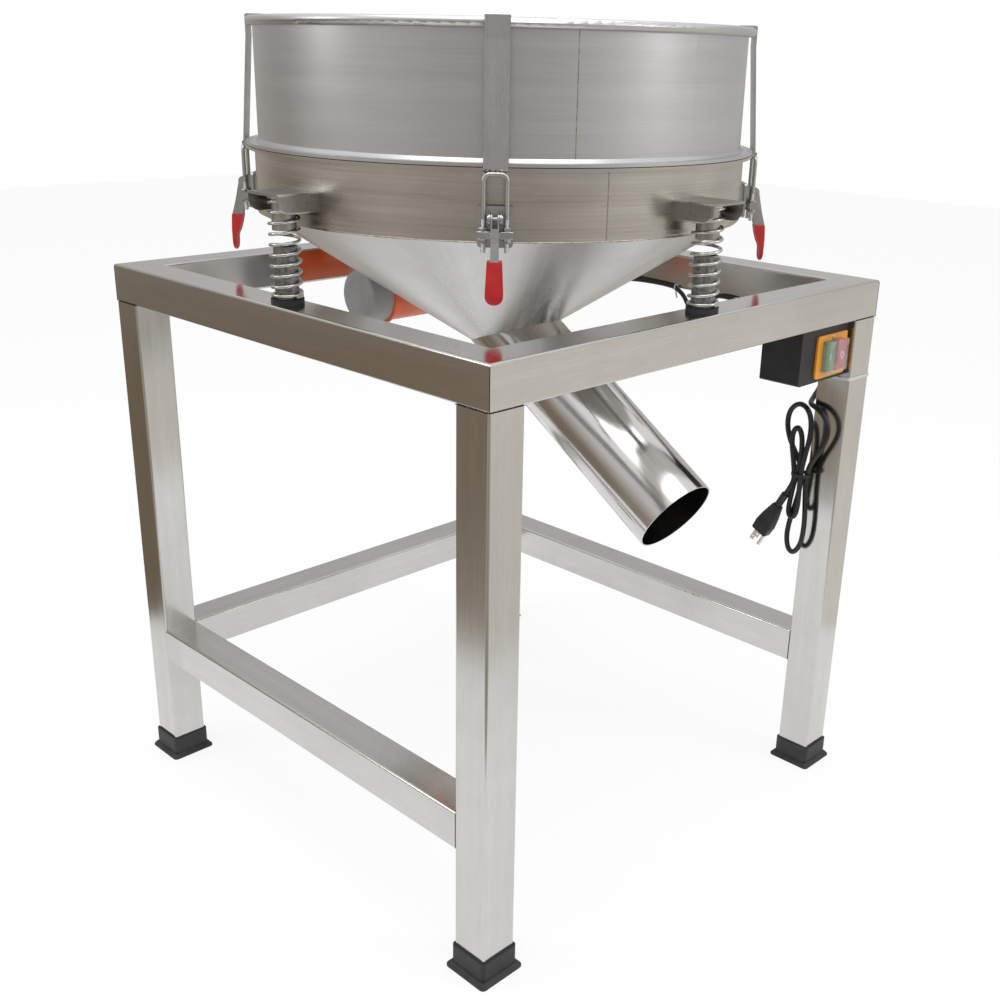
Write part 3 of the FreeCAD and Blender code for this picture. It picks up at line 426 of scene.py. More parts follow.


# %% [markdown]
# ## Stainless finishes
# One maker's recipe covers all the bare steel: a metal whose tone and roughness follow the
# grain, with broad streaks of painted reflection in the tone, dulled a little by smudges. Only the
# brushing direction, the polish and the warmth differ.
# Long-grain tube is brushed along its length, so each tube gets its own stretch.

# %% Steel recipe
def steel(name, bright, dark, rough, stretch, around=False, smudge_size=5.0, smudge_dull=0.25,
          depth=0.05):
    """Bare steel; bright and dark are its tones, spread by the brushing and by broad streaks of painted
    reflection; rough is (low, high) roughness of the brushing.
    """
    material, tree, shader = new_material(name)
    place = object_place(tree)
    if around:
        place = use_group(tree, ROUND_PLACE, {"Place": place})["Place"]
    grain_and_streaks = use_group(tree, GRAIN_AND_STREAKS, {"Place": place, "Stretch": stretch, "Low": rough[0], "High": rough[1]})
    smudge = use_group(tree, SMUDGE, {"Place": place, "Size": smudge_size})["Mask"]
    # Painted reflection: the tone runs from dark to bright with the fine grain and with the broad streaks
    # that stand in for reflected bands.
    tone = mix_colour(tree, grain_and_streaks["Tone"], dark, bright)
    tone = mix_colour(tree, math_node(tree, "MULTIPLY", smudge, smudge_dull), tone,
                      tuple(0.72 * c for c in dark))
    tree.links.new(tone, shader.inputs["Base Color"])
    dulled = math_node(tree, "ADD", grain_and_streaks["Rough"], math_node(tree, "MULTIPLY", smudge, 0.08))
    tree.links.new(dulled, shader.inputs["Roughness"])
    bump = add(tree, "ShaderNodeBump", {"Height": grain_and_streaks["Height"], "Strength": depth, "Distance": 0.0004})
    tree.links.new(bump.outputs["Normal"], shader.inputs["Normal"])
    shader.inputs["Metallic"].default_value = 1.0
    return material


def wear_post_zinc(material, level):
    """Above the level the tube's node is the spring's guide post, in duller zinc."""
    tree = material.node_tree
    shader = tree.nodes["Principled BSDF"]
    height = add(tree, "ShaderNodeSeparateXYZ", {"Vector": object_place(tree)}).outputs["Z"]
    above = math_node(tree, "GREATER_THAN", height, level)
    grit = use_group(tree, GRIT, {"Place": object_place(tree), "Size": 240.0})["Fac"]
    zinc = ramp(tree, grit, [(0.35, (0.16, 0.16, 0.155)), (0.65, (0.34, 0.34, 0.33))])
    tone = shader.inputs["Base Color"].links[0].from_socket
    tree.links.new(mix_colour(tree, above, tone, zinc), shader.inputs["Base Color"])
    rough = shader.inputs["Roughness"].links[0].from_socket
    lifted = math_node(tree, "ADD", rough, math_node(tree, "MULTIPLY", above, 0.22))
    tree.links.new(lifted, shader.inputs["Roughness"])


# %% [markdown]
# ## The steels of this machine
# The stand is polished long-grain tube, the drum and band are rolled sheet, the hopper is brushed
# downwards and the spout is nearly a mirror. One recipe with different numbers keeps them a family,
# and is easier to tune than ten graphs made apart.

# %% The steels
LONG, SHORT = 6.0, 260.0
TUBE_BRIGHT, TUBE_DARK = (0.66, 0.65, 0.63), (0.56, 0.55, 0.525)
TUBE_ROUGH = (0.09, 0.17)
tube_x = steel("polished_tube_lengthwise", TUBE_BRIGHT, TUBE_DARK, TUBE_ROUGH, (LONG, SHORT, SHORT))
tube_y = steel("polished_tube_crosswise", TUBE_BRIGHT, TUBE_DARK, TUBE_ROUGH, (SHORT, LONG, SHORT))
tube_z = steel("polished_tube_upright", TUBE_BRIGHT, TUBE_DARK, TUBE_ROUGH, (SHORT, SHORT, LONG))
ABOVE_RAIL = 0.0002
post_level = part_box("spring_seat_rings")[0].z + ABOVE_RAIL
for tube in (tube_x, tube_y):
    wear_post_zinc(tube, post_level)
drum_satin = steel("drum_satin", (0.60, 0.60, 0.605), (0.50, 0.50, 0.505), (0.27, 0.36),
                   (3.0, 40.0, 240.0), around=True, smudge_size=3.0, smudge_dull=0.12)
band_brushed = steel("band_brushed", (0.60, 0.575, 0.53), (0.42, 0.395, 0.355), (0.20, 0.33),
                     (2.0, 60.0, 190.0), around=True, smudge_size=9.0, smudge_dull=0.35)
cone_sheet = steel("cone_sheet", (0.64, 0.635, 0.625), (0.50, 0.495, 0.485), (0.20, 0.32),
                   (46.0, 2.0, 2.0), around=True, smudge_size=5.0, smudge_dull=0.2)
spout_mirror = steel("spout_mirror", (0.70, 0.69, 0.675), (0.60, 0.59, 0.575), (0.06, 0.13),
                     (7.0, 120.0, 7.0), smudge_size=4.0, smudge_dull=0.15)
bracket_steel = steel("bracket_steel", (0.50, 0.485, 0.455), (0.34, 0.325, 0.30), (0.22, 0.36),
                      (90.0, 90.0, 90.0), smudge_size=30.0, smudge_dull=0.5)
clamp_steel = steel("clamp_zinc", (0.56, 0.56, 0.55), (0.40, 0.40, 0.39), (0.20, 0.36),
                    (200.0, 200.0, 60.0), smudge_size=60.0, smudge_dull=0.35)
strap_steel = steel("strap_steel", (0.58, 0.575, 0.56), (0.46, 0.455, 0.44), (0.20, 0.30),
                    (220.0, 220.0, 6.0), smudge_size=20.0, smudge_dull=0.25)
spring_wire = steel("spring_zinc", (0.72, 0.72, 0.70), (0.46, 0.46, 0.44), (0.16, 0.32),
                    (300.0, 300.0, 300.0), smudge_size=120.0, smudge_dull=0.3)
turned_steel = steel("turned_steel", (0.50, 0.50, 0.49), (0.36, 0.36, 0.35), (0.22, 0.34),
                     (120.0, 400.0, 120.0))
blade_plate = steel("plug_blade_plate", (0.78, 0.75, 0.68), (0.62, 0.59, 0.52), (0.14, 0.26),
                    (500.0, 500.0, 80.0), smudge_size=200.0)
print("steels", len(bpy.data.materials))


# %% [markdown]
# ## Weld metal
# A weld cools in lumps and tints straw and brown. A bump on the sheet could suggest it, but the beads
# are pieces of their own, so this finish only has to give them a lumpy, tinted metal.

# %% Weld metal
def weld_metal(name, low, high, rough):
    """Cooled weld: lumpy, straw and brown where the heat tinted it."""
    material, tree, shader = new_material(name)
    place = object_place(tree)
    lump = add(tree, "ShaderNodeTexNoise", {"Vector": place, "Scale": 260.0, "Detail": 4.0}).outputs["Fac"]
    tree.links.new(ramp(tree, lump, [(0.35, low), (0.7, high)]), shader.inputs["Base Color"])
    tree.links.new(scale_range(tree, lump, rough[0], rough[1]), shader.inputs["Roughness"])
    bump = add(tree, "ShaderNodeBump", {"Height": lump, "Strength": 0.5, "Distance": 0.0008})
    tree.links.new(bump.outputs["Normal"], shader.inputs["Normal"])
    shader.inputs["Metallic"].default_value = 1.0
    return material


seam_weld = weld_metal("ground_weld", (0.36, 0.32, 0.25), (0.62, 0.58, 0.50), (0.25, 0.45))
burnt_weld = weld_metal("burnt_weld", (0.05, 0.045, 0.04), (0.42, 0.38, 0.31), (0.3, 0.5))
dark_seam = weld_metal("open_seam", (0.02, 0.018, 0.015), (0.10, 0.085, 0.065), (0.5, 0.7))
print("weld finishes ready")


# %% [markdown]
# ## Plastics, rubber and paint
# Moulded parts share one recipe: a colour that drifts slightly, a roughness that follows the
# mould's fine grit, and handling that polishes it in places.

# %% Moulded finishes
HANDLED_PATCH = 30.0


def moulded(name, colour, rough, grit_size=900.0, depth=0.15, drift=0.12, coat=0.0):
    """Moulded or painted part; grit_size and depth are its texture, drift its change of colour."""
    material, tree, shader = new_material(name)
    place = object_place(tree)
    grit = use_group(tree, GRIT, {"Place": place, "Size": grit_size, "Depth": depth})
    smudge = use_group(tree, SMUDGE, {"Place": place, "Size": HANDLED_PATCH})["Mask"]
    pale = tuple(min(1.0, c * (1 + drift) + 0.02 * drift) for c in colour)
    deep = tuple(c * (1 - drift) for c in colour)
    tree.links.new(mix_colour(tree, smudge, deep, pale), shader.inputs["Base Color"])
    varied = math_node(tree, "ADD", math_node(tree, "MULTIPLY", smudge, 0.10),
                       scale_range(tree, grit["Fac"], rough - 0.06, rough + 0.06))
    tree.links.new(varied, shader.inputs["Roughness"])
    tree.links.new(grit["Normal"], shader.inputs["Normal"])
    shader.inputs["Coat Weight"].default_value = coat
    shader.inputs["Coat Roughness"].default_value = 0.12
    return material


foot_rubber = moulded("foot_rubber", (0.022, 0.022, 0.023), 0.52, 500.0, 0.3, 0.4)
seat_rubber = moulded("seat_rubber", (0.018, 0.017, 0.017), 0.55, 700.0, 0.3, 0.3)
grip_vinyl = moulded("red_grip_vinyl", (0.60, 0.012, 0.014), 0.34, 260.0, 0.10, 0.12)
box_plastic = moulded("black_box_plastic", (0.014, 0.014, 0.015), 0.42, 1500.0, 0.35, 0.3)
cord_jacket = moulded("cord_jacket", (0.010, 0.010, 0.011), 0.36, 900.0, 0.1, 0.3)
plug_rubber = moulded("plug_rubber", (0.012, 0.012, 0.013), 0.45, 900.0, 0.25, 0.3)
amber_plate = moulded("amber_plate", (0.86, 0.33, 0.012), 0.30, 1100.0, 0.12, 0.07, coat=0.3)
green_plastic = moulded("green_button_plastic", (0.010, 0.20, 0.060), 0.30, 1200.0, 0.1, 0.1, coat=0.3)
red_plastic = moulded("red_button_plastic", (0.46, 0.045, 0.060), 0.30, 1200.0, 0.1, 0.1, coat=0.3)
button_mark = moulded("button_mark", (0.82, 0.82, 0.80), 0.45, 1200.0, 0.05, 0.03)
tie_nylon = moulded("tie_nylon", (0.72, 0.72, 0.68), 0.36, 1500.0, 0.1, 0.06)
motor_orange = moulded("motor_orange_paint", (0.80, 0.115, 0.012), 0.33, 320.0, 0.28, 0.12,
                       coat=0.25)
motor_grey = moulded("motor_cover_grey", (0.34, 0.335, 0.325), 0.38, 420.0, 0.25, 0.12)
print("materials so far", len(bpy.data.materials))


# %% [markdown]
# ## Clear hood and woven screen
# The hood is thin soft film, so it is mostly see-through with a rubbed gloss. The screen could be
# thousands of wires, but at 2.4 mm a wire is too fine to model: crossed waves in colour, roughness
# and bump draw the weave on one disc, and the openings between the wires are painted shade.

# %% Clear hood and woven screen
WIRE_PITCH = 0.0024


def clear_film():
    """Soft clear hood: thin, faintly yellowed, with a rubbed gloss."""
    material, tree, shader = new_material("clear_button_hood")
    smudge = use_group(tree, SMUDGE, {"Place": object_place(tree), "Size": 90.0})["Mask"]
    tree.links.new(scale_range(tree, smudge, 0.05, 0.22), shader.inputs["Roughness"])
    tree.links.new(scale_range(tree, smudge, 0.10, 0.22), shader.inputs["Alpha"])
    shader.inputs["Base Color"].default_value = (0.86, 0.85, 0.82, 1)
    shader.inputs["Specular IOR Level"].default_value = 0.6
    return material


def woven_wire():
    """Woven screen: two crossed sets of wires, with painted shade in the gaps between them."""
    material, tree, shader = new_material("woven_screen")
    place = object_place(tree)
    pitch = 2 * math.pi / WIRE_PITCH
    parts = add(tree, "ShaderNodeSeparateXYZ", {"Vector": place}).outputs
    waves = []
    for key in ("X", "Y"):
        turned = math_node(tree, "SINE", math_node(tree, "MULTIPLY", parts[key], pitch))
        waves.append(math_node(tree, "ABSOLUTE", turned))
    over = math_node(tree, "MAXIMUM", waves[0], waves[1])
    wire = scale_range(tree, over, 0, 1, 0.45, 0.9)
    smudge = use_group(tree, SMUDGE, {"Place": place, "Size": 7.0})["Mask"]
    wire_tone = mix_colour(tree, smudge, (0.42, 0.42, 0.41), (0.60, 0.60, 0.59))
    # Painted shade: the openings between the wires are near black, standing in for the shade seen through
    # them.
    tree.links.new(mix_colour(tree, wire, (0.05, 0.05, 0.05), wire_tone), shader.inputs["Base Color"])
    tree.links.new(scale_range(tree, wire, 0.7, 0.32), shader.inputs["Roughness"])
    bump = add(tree, "ShaderNodeBump", {"Height": over, "Strength": 0.6, "Distance": 0.0004})
    tree.links.new(bump.outputs["Normal"], shader.inputs["Normal"])
    shader.inputs["Metallic"].default_value = 1.0
    return material


hood_film = clear_film()
screen_wire = woven_wire()
print("materials", len(bpy.data.materials))


# %% [markdown]
# ## Finish of each CAD part
# Each drawn part keeps its shape and gets its finish here. The list runs by name, because a
# tube's grain follows the way that tube lies.

# %% Assign the finishes
def finish_of(name):
    if name.startswith("leg_"):
        return tube_z
    if name.startswith(("rail_", "stretcher_")):
        return tube_x if name.endswith(("left", "right")) else tube_y
    if name.startswith("clamp_grip"):
        return grip_vinyl
    if name.startswith("hook_strap"):
        return strap_steel
    if name.startswith("clamp_"):
        return clamp_steel
    return FINISHES[name]


FINISHES = {"foot_cups": foot_rubber, "spring_seat_rings": seat_rubber, "lower_band": band_brushed,
            "hopper_cone": cone_sheet, "discharge_spout": spout_mirror, "feed_drum": drum_satin,
            "screen_ring": seat_rubber, "screen_mesh": screen_wire, "spring_brackets": bracket_steel,
            "motor_mount": bracket_steel, "motor_housing": motor_orange, "motor_end_covers": motor_grey,
            "motor_shaft": turned_steel, "eccentric_weights": turned_steel, "motor_bearings": turned_steel,
            "motor_terminal_box": motor_orange, "switch_box": box_plastic, "switch_plate": amber_plate,
            "start_button": green_plastic, "stop_button": red_plastic, "button_cover": hood_film,
            "cord_gland": box_plastic, "plug_body": plug_rubber, "plug_blades": blade_plate,
            "motor_lead": cord_jacket, "power_cord": cord_jacket, "cord_tail": cord_jacket,
            "cord_hank": cord_jacket, "spring_front": spring_wire, "spring_right": spring_wire,
            "spring_back": spring_wire, "spring_left": spring_wire}

for name, part in nodes.items():
    part.data.materials.clear()
    part.data.materials.append(finish_of(name))
print("finished", len(nodes), "parts")


# %% [markdown]
# ## Making pieces
# The dressing pieces are meshes built in code. A sweep carries a round section along a line of
# points, which gives wires, beads, ties and threads. A nut is built in rings, because its chamfered
# corners catch the light.

# %% Mesh helpers
NUT_CHAMFER = 0.93


def piece(name, mesh, body, material):
    part = bpy.data.objects.new(name, mesh)
    bpy.context.collection.objects.link(part)
    mesh.materials.append(material)
    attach(part, body)
    return part


def smooth(mesh, sharp_degrees=None):
    for face in mesh.polygons:
        face.use_smooth = True
    if sharp_degrees is not None:
        mesh.set_sharp_from_angle(angle=math.radians(sharp_degrees))
    return mesh


def sweep(name, points, radius, sides=12, closed=False):
    """Round wire along points; radius is a number or a function of the share along it."""
    points = [Vector(p) for p in points]
    count = len(points)
    verts, faces = [], []
    normal = None
    for i, point in enumerate(points):
        after = points[(i + 1) % count] if closed else points[min(i + 1, count - 1)]
        before = points[i - 1] if closed or i else points[0]
        along = (after - before).normalized()
        if normal is None:
            normal = along.orthogonal().normalized()
        normal = (normal - along * normal.dot(along)).normalized()
        side = along.cross(normal)
        size = radius(i / max(1, count - 1)) if callable(radius) else radius
        for k in range(sides):
            angle = 2 * math.pi * k / sides
            verts.append(point + (normal * math.cos(angle) + side * math.sin(angle)) * size)
    rings = count if closed else count - 1
    for i in range(rings):
        for k in range(sides):
            a, b = i * sides, ((i + 1) % count) * sides
            faces.append((a + k, a + (k + 1) % sides, b + (k + 1) % sides, b + k))
    if not closed:
        faces.append(tuple(reversed(range(sides))))
        faces.append(tuple(range((count - 1) * sides, count * sides)))
    mesh = bpy.data.meshes.new(name)
    mesh.from_pydata(verts, [], faces)
    return smooth(mesh, 50)


def from_bmesh(name, made, sharp=35):
    mesh = bpy.data.meshes.new(name)
    bmesh.ops.recalc_face_normals(made, faces=made.faces)
    made.to_mesh(mesh)
    made.free()
    return smooth(mesh, sharp)


def hex_nut(across, height, bore):
    """Nut with chamfered corners, its hole along Z, base on z = 0."""
    made = bmesh.new()
    outer = across / 2 / math.cos(math.pi / 6)
    levels = [(0.0, NUT_CHAMFER), (0.12, 1.0), (0.88, 1.0), (1.0, NUT_CHAMFER)]
    rings = []
    for share, size in levels:
        rings.append([made.verts.new((outer * size * math.cos(math.pi * k / 3),
                                      outer * size * math.sin(math.pi * k / 3), height * share))
                      for k in range(6)])
    for low, high in zip(rings, rings[1:]):
        for k in range(6):
            made.faces.new((low[k], low[(k + 1) % 6], high[(k + 1) % 6], high[k]))
    for ring, z in ((rings[0], 0.0), (rings[-1], height)):
        hole = [made.verts.new((bore * math.cos(math.pi * k / 3), bore * math.sin(math.pi * k / 3), z))
                for k in range(6)]
        for k in range(6):
            made.faces.new((ring[k], ring[(k + 1) % 6], hole[(k + 1) % 6], hole[k]))
    return from_bmesh("nut", made)


def centre_of(name):
    low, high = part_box(name)
    return (low + high) / 2


print("mesh helpers ready")


# %% [markdown]
# ## Power cord
# The cord leaves the switch box behind the leg, comes round the leg's back edge and is folded
# into a small hank with two loops above its tie, a tight fold between them and a loop below.
# A tube mesh could follow the same way, but a bevelled spline keeps it one line that is easy to bend.

# %% Power cord
CORD_DIAMETER = 0.0075
# The cord's route from the gland to the plug, in millimetres: down behind the leg and round it,
# the right loop, up through the left loop, the long bottom loop, the fold in the middle, the plug.
CORD_ROUTE = [(306.5, 329.6, 650), (306.5, 349, 648), (305, 364, 632), (303, 366, 608), (303, 353, 588),
              (306, 333, 577), (313, 313, 573), (330, 306, 571), (347, 304, 560), (354, 303, 540),
              (348, 302, 519), (337, 301, 500), (329, 301, 482), (326.5, 302, 463), (327.5, 303, 440),
              (330, 303.5, 415), (331, 303.5, 390), (329, 303, 366), (320, 302, 349), (310, 301, 352),
              (305, 301, 370), (306, 302, 392), (311, 303, 415), (315.5, 304.5, 440), (317, 306, 463),
              (312, 307, 484), (301, 306.5, 501), (290, 305, 520), (285, 304, 542), (289, 303, 562),
              (303, 302, 574), (318, 300.5, 570), (327, 299, 555), (329, 297.5, 530), (325, 296, 505),
              (322, 294.5, 480), (322, 294, 455), (323, 293.5, 430), (321, 293, 411), (313.5, 292.8, 405),
              (308, 293, 414), (309.5, 294, 435), (312, 295, 458), (316, 297, 482), (317.5, 298, 508),
              (315, 298.5, 530), (308, 298, 541), (300.5, 297.5, 533), (300.5, 297, 515), (305, 297, 495),
              (309, 296.5, 477), (312, 294.5, 464), (309.6, 291.5, 452), (303.6, 289, 440)]


def soft_line(name, points, diameter):
    """Bevelled curve of one smooth spline through the route's bends."""
    data = bpy.data.curves.new(name, "CURVE")
    data.dimensions = "3D"
    data.bevel_depth = diameter / 2
    data.bevel_resolution = 5
    data.resolution_u = 10
    data.use_fill_caps = True
    spline = data.splines.new("NURBS")
    spline.points.add(len(points) - 1)
    for mark, (x, y, z) in zip(spline.points, points):
        mark.co = (x * MM, y * MM, z * MM, 1)
    spline.order_u = 3
    spline.use_endpoint_u = True
    return bpy.data.objects.new(name, data)


def line_points(curve):
    """Points along a curve's own line, evenly dense."""
    bare = curve.data.copy()
    bare.bevel_depth = 0
    bare.use_fill_caps = False
    probe = bpy.data.objects.new("probe", bare)
    mesh = bpy.data.meshes.new_from_object(probe)
    points = [v.co.copy() for v in mesh.vertices]
    bpy.data.objects.remove(probe)
    return points


def run_length(points):
    return sum((a - b).length for a, b in zip(points, points[1:]))


cord = soft_line("power_cord_line", CORD_ROUTE, CORD_DIAMETER)
bpy.context.collection.objects.link(cord)
cord.data.materials.append(cord_jacket)
cord_length = run_length(line_points(cord))
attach(cord, "frame")
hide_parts("power_cord", "cord_hank", "cord_tail")
print("cord length", round(cord_length, 3))


# %% [markdown]
# ## Springs
# Each spring is a round wire wound at an even pitch, with the end turns laid closed. It joins
# the moving body to the stand.

# %% Springs
SPRING_WIRE = 0.0038
SPRING_TURNS = 9.0
CLOSED_TURNS = 1.0
CLOSED_RISE = 0.62
TURN_STEPS = 32


def wound_spring(name):
    low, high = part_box(name)
    wire, turns, closed_turns = SPRING_WIRE, SPRING_TURNS, CLOSED_TURNS
    centre = (low + high) / 2
    radius = min(high.x - low.x, high.y - low.y) / 2 - wire / 2
    base, top = low.z + wire / 2, high.z - wire / 2
    total = turns + 2 * closed_turns
    steps = int(total * TURN_STEPS)
    rise = wire * CLOSED_RISE
    points = []
    for i in range(steps + 1):
        turn = total * i / steps
        if turn < closed_turns:
            z = base + rise * turn
        elif turn > total - closed_turns:
            z = top - rise * (total - turn)
        else:
            share = (turn - closed_turns) / turns
            z = base + rise * closed_turns + share * (top - base - 2 * rise * closed_turns)
        angle = 2 * math.pi * turn
        points.append((centre.x + radius * math.cos(angle), centre.y + radius * math.sin(angle), z))
    mesh = sweep(name + "_coil", points, wire / 2, sides=12)
    coil = bpy.data.objects.new(name + "_coil", mesh)
    bpy.context.collection.objects.link(coil)
    mesh.materials.append(spring_wire)
    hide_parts(name)
    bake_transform(coil)
    print(name, "wire points", len(points))


for side in ("front", "right", "back", "left"):
    wound_spring("spring_" + side)


# %% [markdown]
# ## Clamp hardware
# Each hook's U-bolt is threaded at its two lower ends and locked in the trunnion by nuts above
# and below. The strap is welded to the bolt's bend with a short rough bead.

# %% Nuts, threads and welds on the clamps
CLAMPS = {"front_left": -45.0, "front_right": 45.0, "back_left": -135.0, "back_right": 135.0}
ARM_REACH = 0.334
ARM_HALF = 0.0127
NUT_ACROSS = 0.0080
NUT_HEIGHT = 0.0040
BOLT_RADIUS = 0.0025
BOLT_STANDS_PROUD = 0.008
BEND_TOP = 0.9105
nut_mesh = hex_nut(NUT_ACROSS, NUT_HEIGHT, 0.0024)
nut_mesh.materials.append(clamp_steel)


def thread_mesh(length, radius, pitch=0.0008):
    """Rolled thread: a rod whose radius rises and falls once a pitch."""
    steps = int(length / pitch * 4)
    points = [(0, 0, length * i / steps) for i in range(steps + 1)]
    crest = [0.0, 0.5, 1.0, 0.5]

    def girth(share):
        return radius + 0.0001 + 0.0002 * crest[int(round(share * steps)) % 4]

    return sweep("thread", points, girth, 14)


carrier_low, carrier_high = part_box("clamp_carrier_front_left")
strap_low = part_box("hook_strap_front_left")[0].z
thread_top = carrier_high.z + NUT_HEIGHT + BOLT_STANDS_PROUD
threads = {"lower": thread_mesh(carrier_low.z - strap_low, BOLT_RADIUS),
           "upper": thread_mesh(thread_top - carrier_high.z, BOLT_RADIUS)}
for mesh in threads.values():
    mesh.materials.append(clamp_steel)


def put(name, mesh, place, turn, body):
    """A shared mesh at a place, turned about Z, riding on a body."""
    part = bpy.data.objects.new(name, mesh)
    bpy.context.collection.objects.link(part)
    part.matrix_world = Matrix.Translation(place) @ Matrix.Rotation(turn, 4, "Z")
    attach(part, body)


def about(angle, out, across, z):
    """Place given outward and sideways from the drum's axis at an angle."""
    turn = math.radians(angle)
    return Vector((out * math.cos(turn) - across * math.sin(turn),
                   out * math.sin(turn) + across * math.cos(turn), z))


def dress_clamp(name, angle):
    body = "clamp_hook_" + name
    for side, word in ((-1, "a"), (1, "b")):
        for level, z in (("under", carrier_low.z - NUT_HEIGHT), ("over", carrier_high.z)):
            turn = math.radians(angle + 17 * side + (9 if level == "over" else 0))
            place = about(angle, ARM_REACH, side * ARM_HALF, z)
            put(f"nut_{level}_{word}_{name}", nut_mesh, place, turn, body)
        put(f"thread_lower_{word}_{name}", threads["lower"],
            about(angle, ARM_REACH, side * ARM_HALF, strap_low), 0, body)
        put(f"thread_upper_{word}_{name}", threads["upper"],
            about(angle, ARM_REACH, side * ARM_HALF, carrier_high.z), 0, body)
    line = []
    steps = 26
    for i in range(steps + 1):
        share = i / steps
        across = -0.0128 + 0.0256 * share
        wobble = 0.0006 * math.sin(9 * share * math.pi) + random.uniform(-0.0003, 0.0003)
        line.append(about(angle, ARM_REACH - 0.0006 + wobble * 0.5, across, BEND_TOP + 0.0006 + wobble))
    bead = sweep("strap_weld_" + name, line,
                 lambda s: 0.0016 + 0.0005 * math.sin(31 * s + angle) * math.sin(13 * s), 10)
    piece("strap_weld_" + name, bead, body, burnt_weld)


for name, angle in CLAMPS.items():
    dress_clamp(name, angle)
print("dressed clamps", len(CLAMPS))


# %% [markdown]
# ## Welds on the body and the stand
# The hopper is welded to the band with a bead that was ground nearly flush, and the rolled sheets
# show an upright seam where their ends meet. Swept beads stand a little proud, so they catch light
# that a painted line would not.

# %% Body welds
def ring_points(radius, z, steps=180):
    return [(radius * math.cos(2 * math.pi * i / steps), radius * math.sin(2 * math.pi * i / steps), z)
            for i in range(steps)]


BAND_FACE = 0.3148
DRUM_FACE = 0.3098
seam_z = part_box("lower_band")[0].z
cone_bead = sweep("cone_seam_bead", ring_points(BAND_FACE, seam_z),
                  lambda s: 0.0009 + 0.0003 * math.sin(140 * s), 8, closed=True)
piece("cone_seam_bead", cone_bead, "sieve_body", seam_weld)
drum_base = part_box("feed_drum")[0].z
drum_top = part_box("feed_drum")[1].z


def wall_seam(name, angle, radius, low, high):
    """Upright weld line where a rolled sheet's ends meet."""
    steps = 60
    line = [about(angle, radius, 0, low + (high - low) * i / steps) for i in range(steps + 1)]
    bead = sweep(name, line, lambda s: 0.0007 + 0.0002 * math.sin(200 * s), 6)
    piece(name, bead, "sieve_body", seam_weld)


wall_seam("drum_wall_seam", -29, DRUM_FACE, drum_base + 0.008, drum_top - 0.011)
wall_seam("band_wall_seam", -22, BAND_FACE, seam_z, seam_z + 0.075)
print("body beads at", round(seam_z, 4))


# %% [markdown]
# ## Stand seams
# The stand's corners show thin dark lines where the tubes meet. They are hair-thin wires laid in the
# joints, because a cut in the tube would change the drawn part.

# %% Stand seams
HALF = 0.368
TUBE = 0.050
rail_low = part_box("rail_front")[0].z
rail_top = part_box("leg_front_left")[1].z + TUBE


def stand_seam(name, line, size=0.00045):
    bead = sweep(name, line, size, 6)
    piece(name, bead, "frame", dark_seam)


CORNERS = (("front_left", 1, -1), ("front_right", 1, 1), ("back_left", -1, -1), ("back_right", -1, 1))
SEAM_INSET = 0.003
for word, sx, sy in CORNERS:
    inner = HALF - TUBE
    edge = HALF - SEAM_INSET
    corner = HALF - 0.0002
    stand_seam("leg_seam_side_" + word, [(sx * edge, sy * HALF, rail_low), (sx * inner, sy * HALF, rail_low)])
    stand_seam("leg_seam_end_" + word, [(sx * HALF, sy * edge, rail_low), (sx * HALF, sy * inner, rail_low)],
               0.00025)
    stand_seam("corner_seam_" + word, [(sx * corner, sy * corner, rail_low),
                                       (sx * corner, sy * corner, rail_top - SEAM_INSET)])
print("seamed corners", len(CORNERS))


# %% [markdown]
# ## Switch details
# The two buttons carry the generic I and O marks, and the plate has a screw above and below the
# buttons. Raised marks are used because moulded buttons have them, and they need no image.

# %% Marks and screws
MARK_WIRE = 0.0006


def raised_mark(name, outline, face_x, button, closed):
    line = [(face_x, y, z) for y, z in outline]
    piece(name, sweep(name, line, MARK_WIRE, 8, closed=closed), button, button_mark)


start = centre_of("start_button")
stop = centre_of("stop_button")
start_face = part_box("start_button")[1].x
stop_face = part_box("stop_button")[1].x
raised_mark("start_mark", [(start.y, start.z - 0.0045), (start.y, start.z), (start.y, start.z + 0.0045)],
            start_face, "start_button", closed=False)
circle = [(stop.y + 0.0036 * math.cos(math.pi * k / 12), stop.z + 0.0048 * math.sin(math.pi * k / 12))
          for k in range(24)]
raised_mark("stop_mark", circle, stop_face, "stop_button", closed=True)


def cross_screw(radius, height):
    """Pan head along +X with a cross recess pressed into its crown."""
    made = bmesh.new()
    rings = []
    steps = 24
    for share in (1.0, 0.96, 0.80, 0.50, 0.18):
        x = height * math.sqrt(max(0.0, 1 - share * share)) if share < 1 else 0.0
        ring = []
        for k in range(steps):
            angle = 2 * math.pi * k / steps
            slot_depth = 0.35 * height if share < 0.6 and k % 6 == 0 else 0.0
            ring.append(made.verts.new((x - slot_depth, radius * share * math.cos(angle),
                                        radius * share * math.sin(angle))))
        rings.append(ring)
    for a, b in zip(rings, rings[1:]):
        for k in range(steps):
            made.faces.new((a[k], a[(k + 1) % steps], b[(k + 1) % steps], b[k]))
    made.faces.new(rings[-1])
    made.faces.new(list(reversed(rings[0])))
    return from_bmesh("screw_head", made)


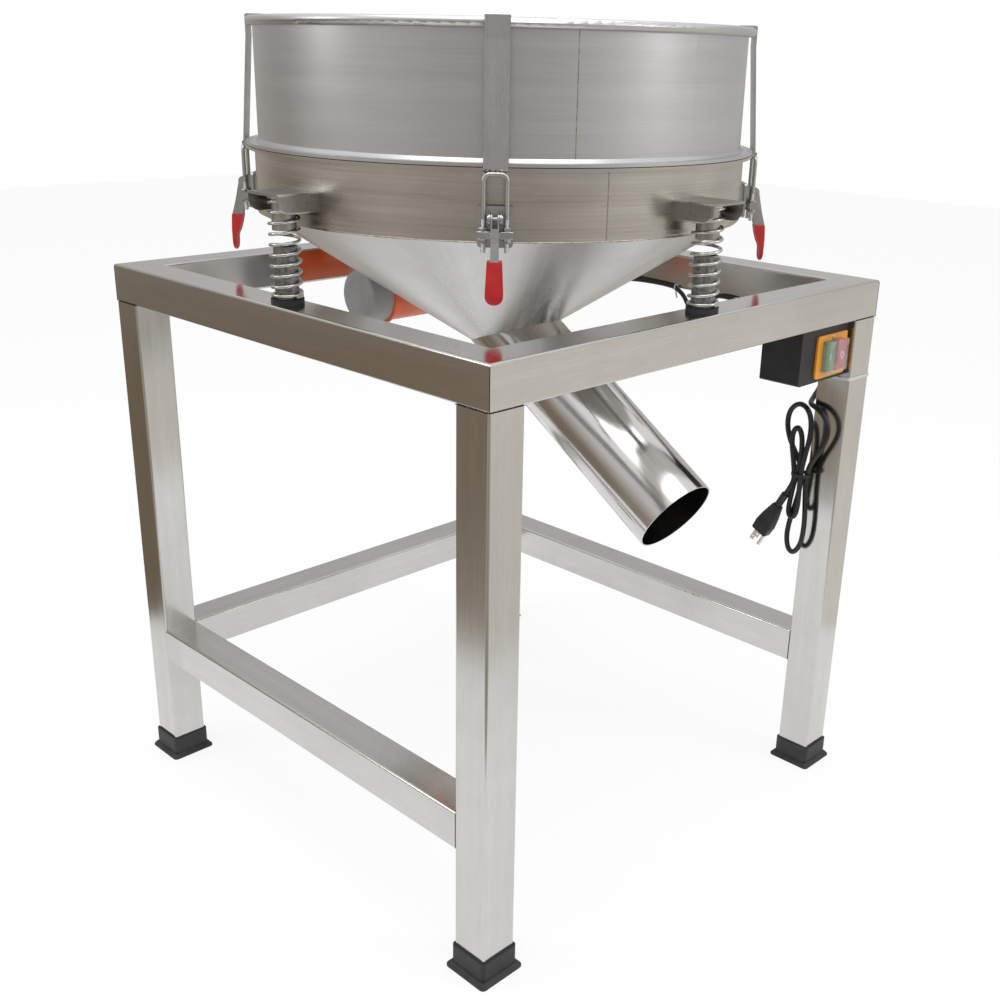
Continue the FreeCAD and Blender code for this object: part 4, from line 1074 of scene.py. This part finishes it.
plate_low, plate_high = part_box("switch_plate")
plate_mid = (plate_low + plate_high) / 2
screw = cross_screw(0.0030, 0.0017)
screw.materials.append(clamp_steel)
SCREW_INSET = 0.0044
for word, z in (("top", plate_high.z - SCREW_INSET), ("bottom", plate_low.z + SCREW_INSET)):
    put("plate_screw_" + word, screw, Vector((plate_high.x, plate_mid.y, z)), 0, "frame")
print("switch marks and screws on")


# %% [markdown]
# ## Cable ties
# A pale nylon tie goes round the leg just under the switch box, another holds the motor lead to
# the right rail, and a black one gathers the hank. Each is a closed wire swept round what it holds,
# laid side by side where the real tie is a flat strap.

# %% Cable ties
def rounded_loop(low, high, z, corner=0.004, steps=5):
    """Rounded rectangle of points at one height."""
    line = []
    for sx, sy, first in ((1, 1, 0), (-1, 1, 90), (-1, -1, 180), (1, -1, 270)):
        cx = (high[0] if sx > 0 else low[0]) - sx * corner
        cy = (high[1] if sy > 0 else low[1]) - sy * corner
        for k in range(steps + 1):
            angle = math.radians(first + 90 * k / steps)
            line.append((cx + corner * math.cos(angle), cy + corner * math.sin(angle), z))
    return line


def tie(name, line, material, size=0.0011):
    piece(name, sweep(name, line, size, 8, closed=True), "frame", material)


leg_low, leg_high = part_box("leg_front_right")
out = Vector((0.0009, 0.0009, 0))
band_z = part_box("switch_box")[0].z - 0.008
for k in range(3):
    tie("leg_tie_" + "abc"[k], rounded_loop(leg_low - out, leg_high + out, band_z + 0.0011 * k),
        tie_nylon)
lead_at = Vector((0.062, 0.314, 0.701))
tie("rail_tie", [lead_at + Vector((0, 0.0038 * math.cos(a), 0.0046 * math.sin(a)))
                 for a in (math.pi * k / 9 for k in range(18))], tie_nylon)
tail_steps = ((0, 0.001, -0.0046), (0.001, 0, -0.010), (0.004, -0.001, -0.015))
tail = [lead_at + Vector(step) for step in tail_steps]
piece("rail_tie_tail", sweep("rail_tie_tail", tail, 0.0012, 8), "frame", tie_nylon)
for k in range(3):
    tie("hank_tie_" + "abc"[k], [(0.3185 + 0.0135 * math.cos(a), 0.3005 + 0.0115 * math.sin(a),
                                  0.470 + 0.0014 * k) for a in (math.pi * i / 16 for i in range(32))],
        plug_rubber, 0.0012)
print("ties on")
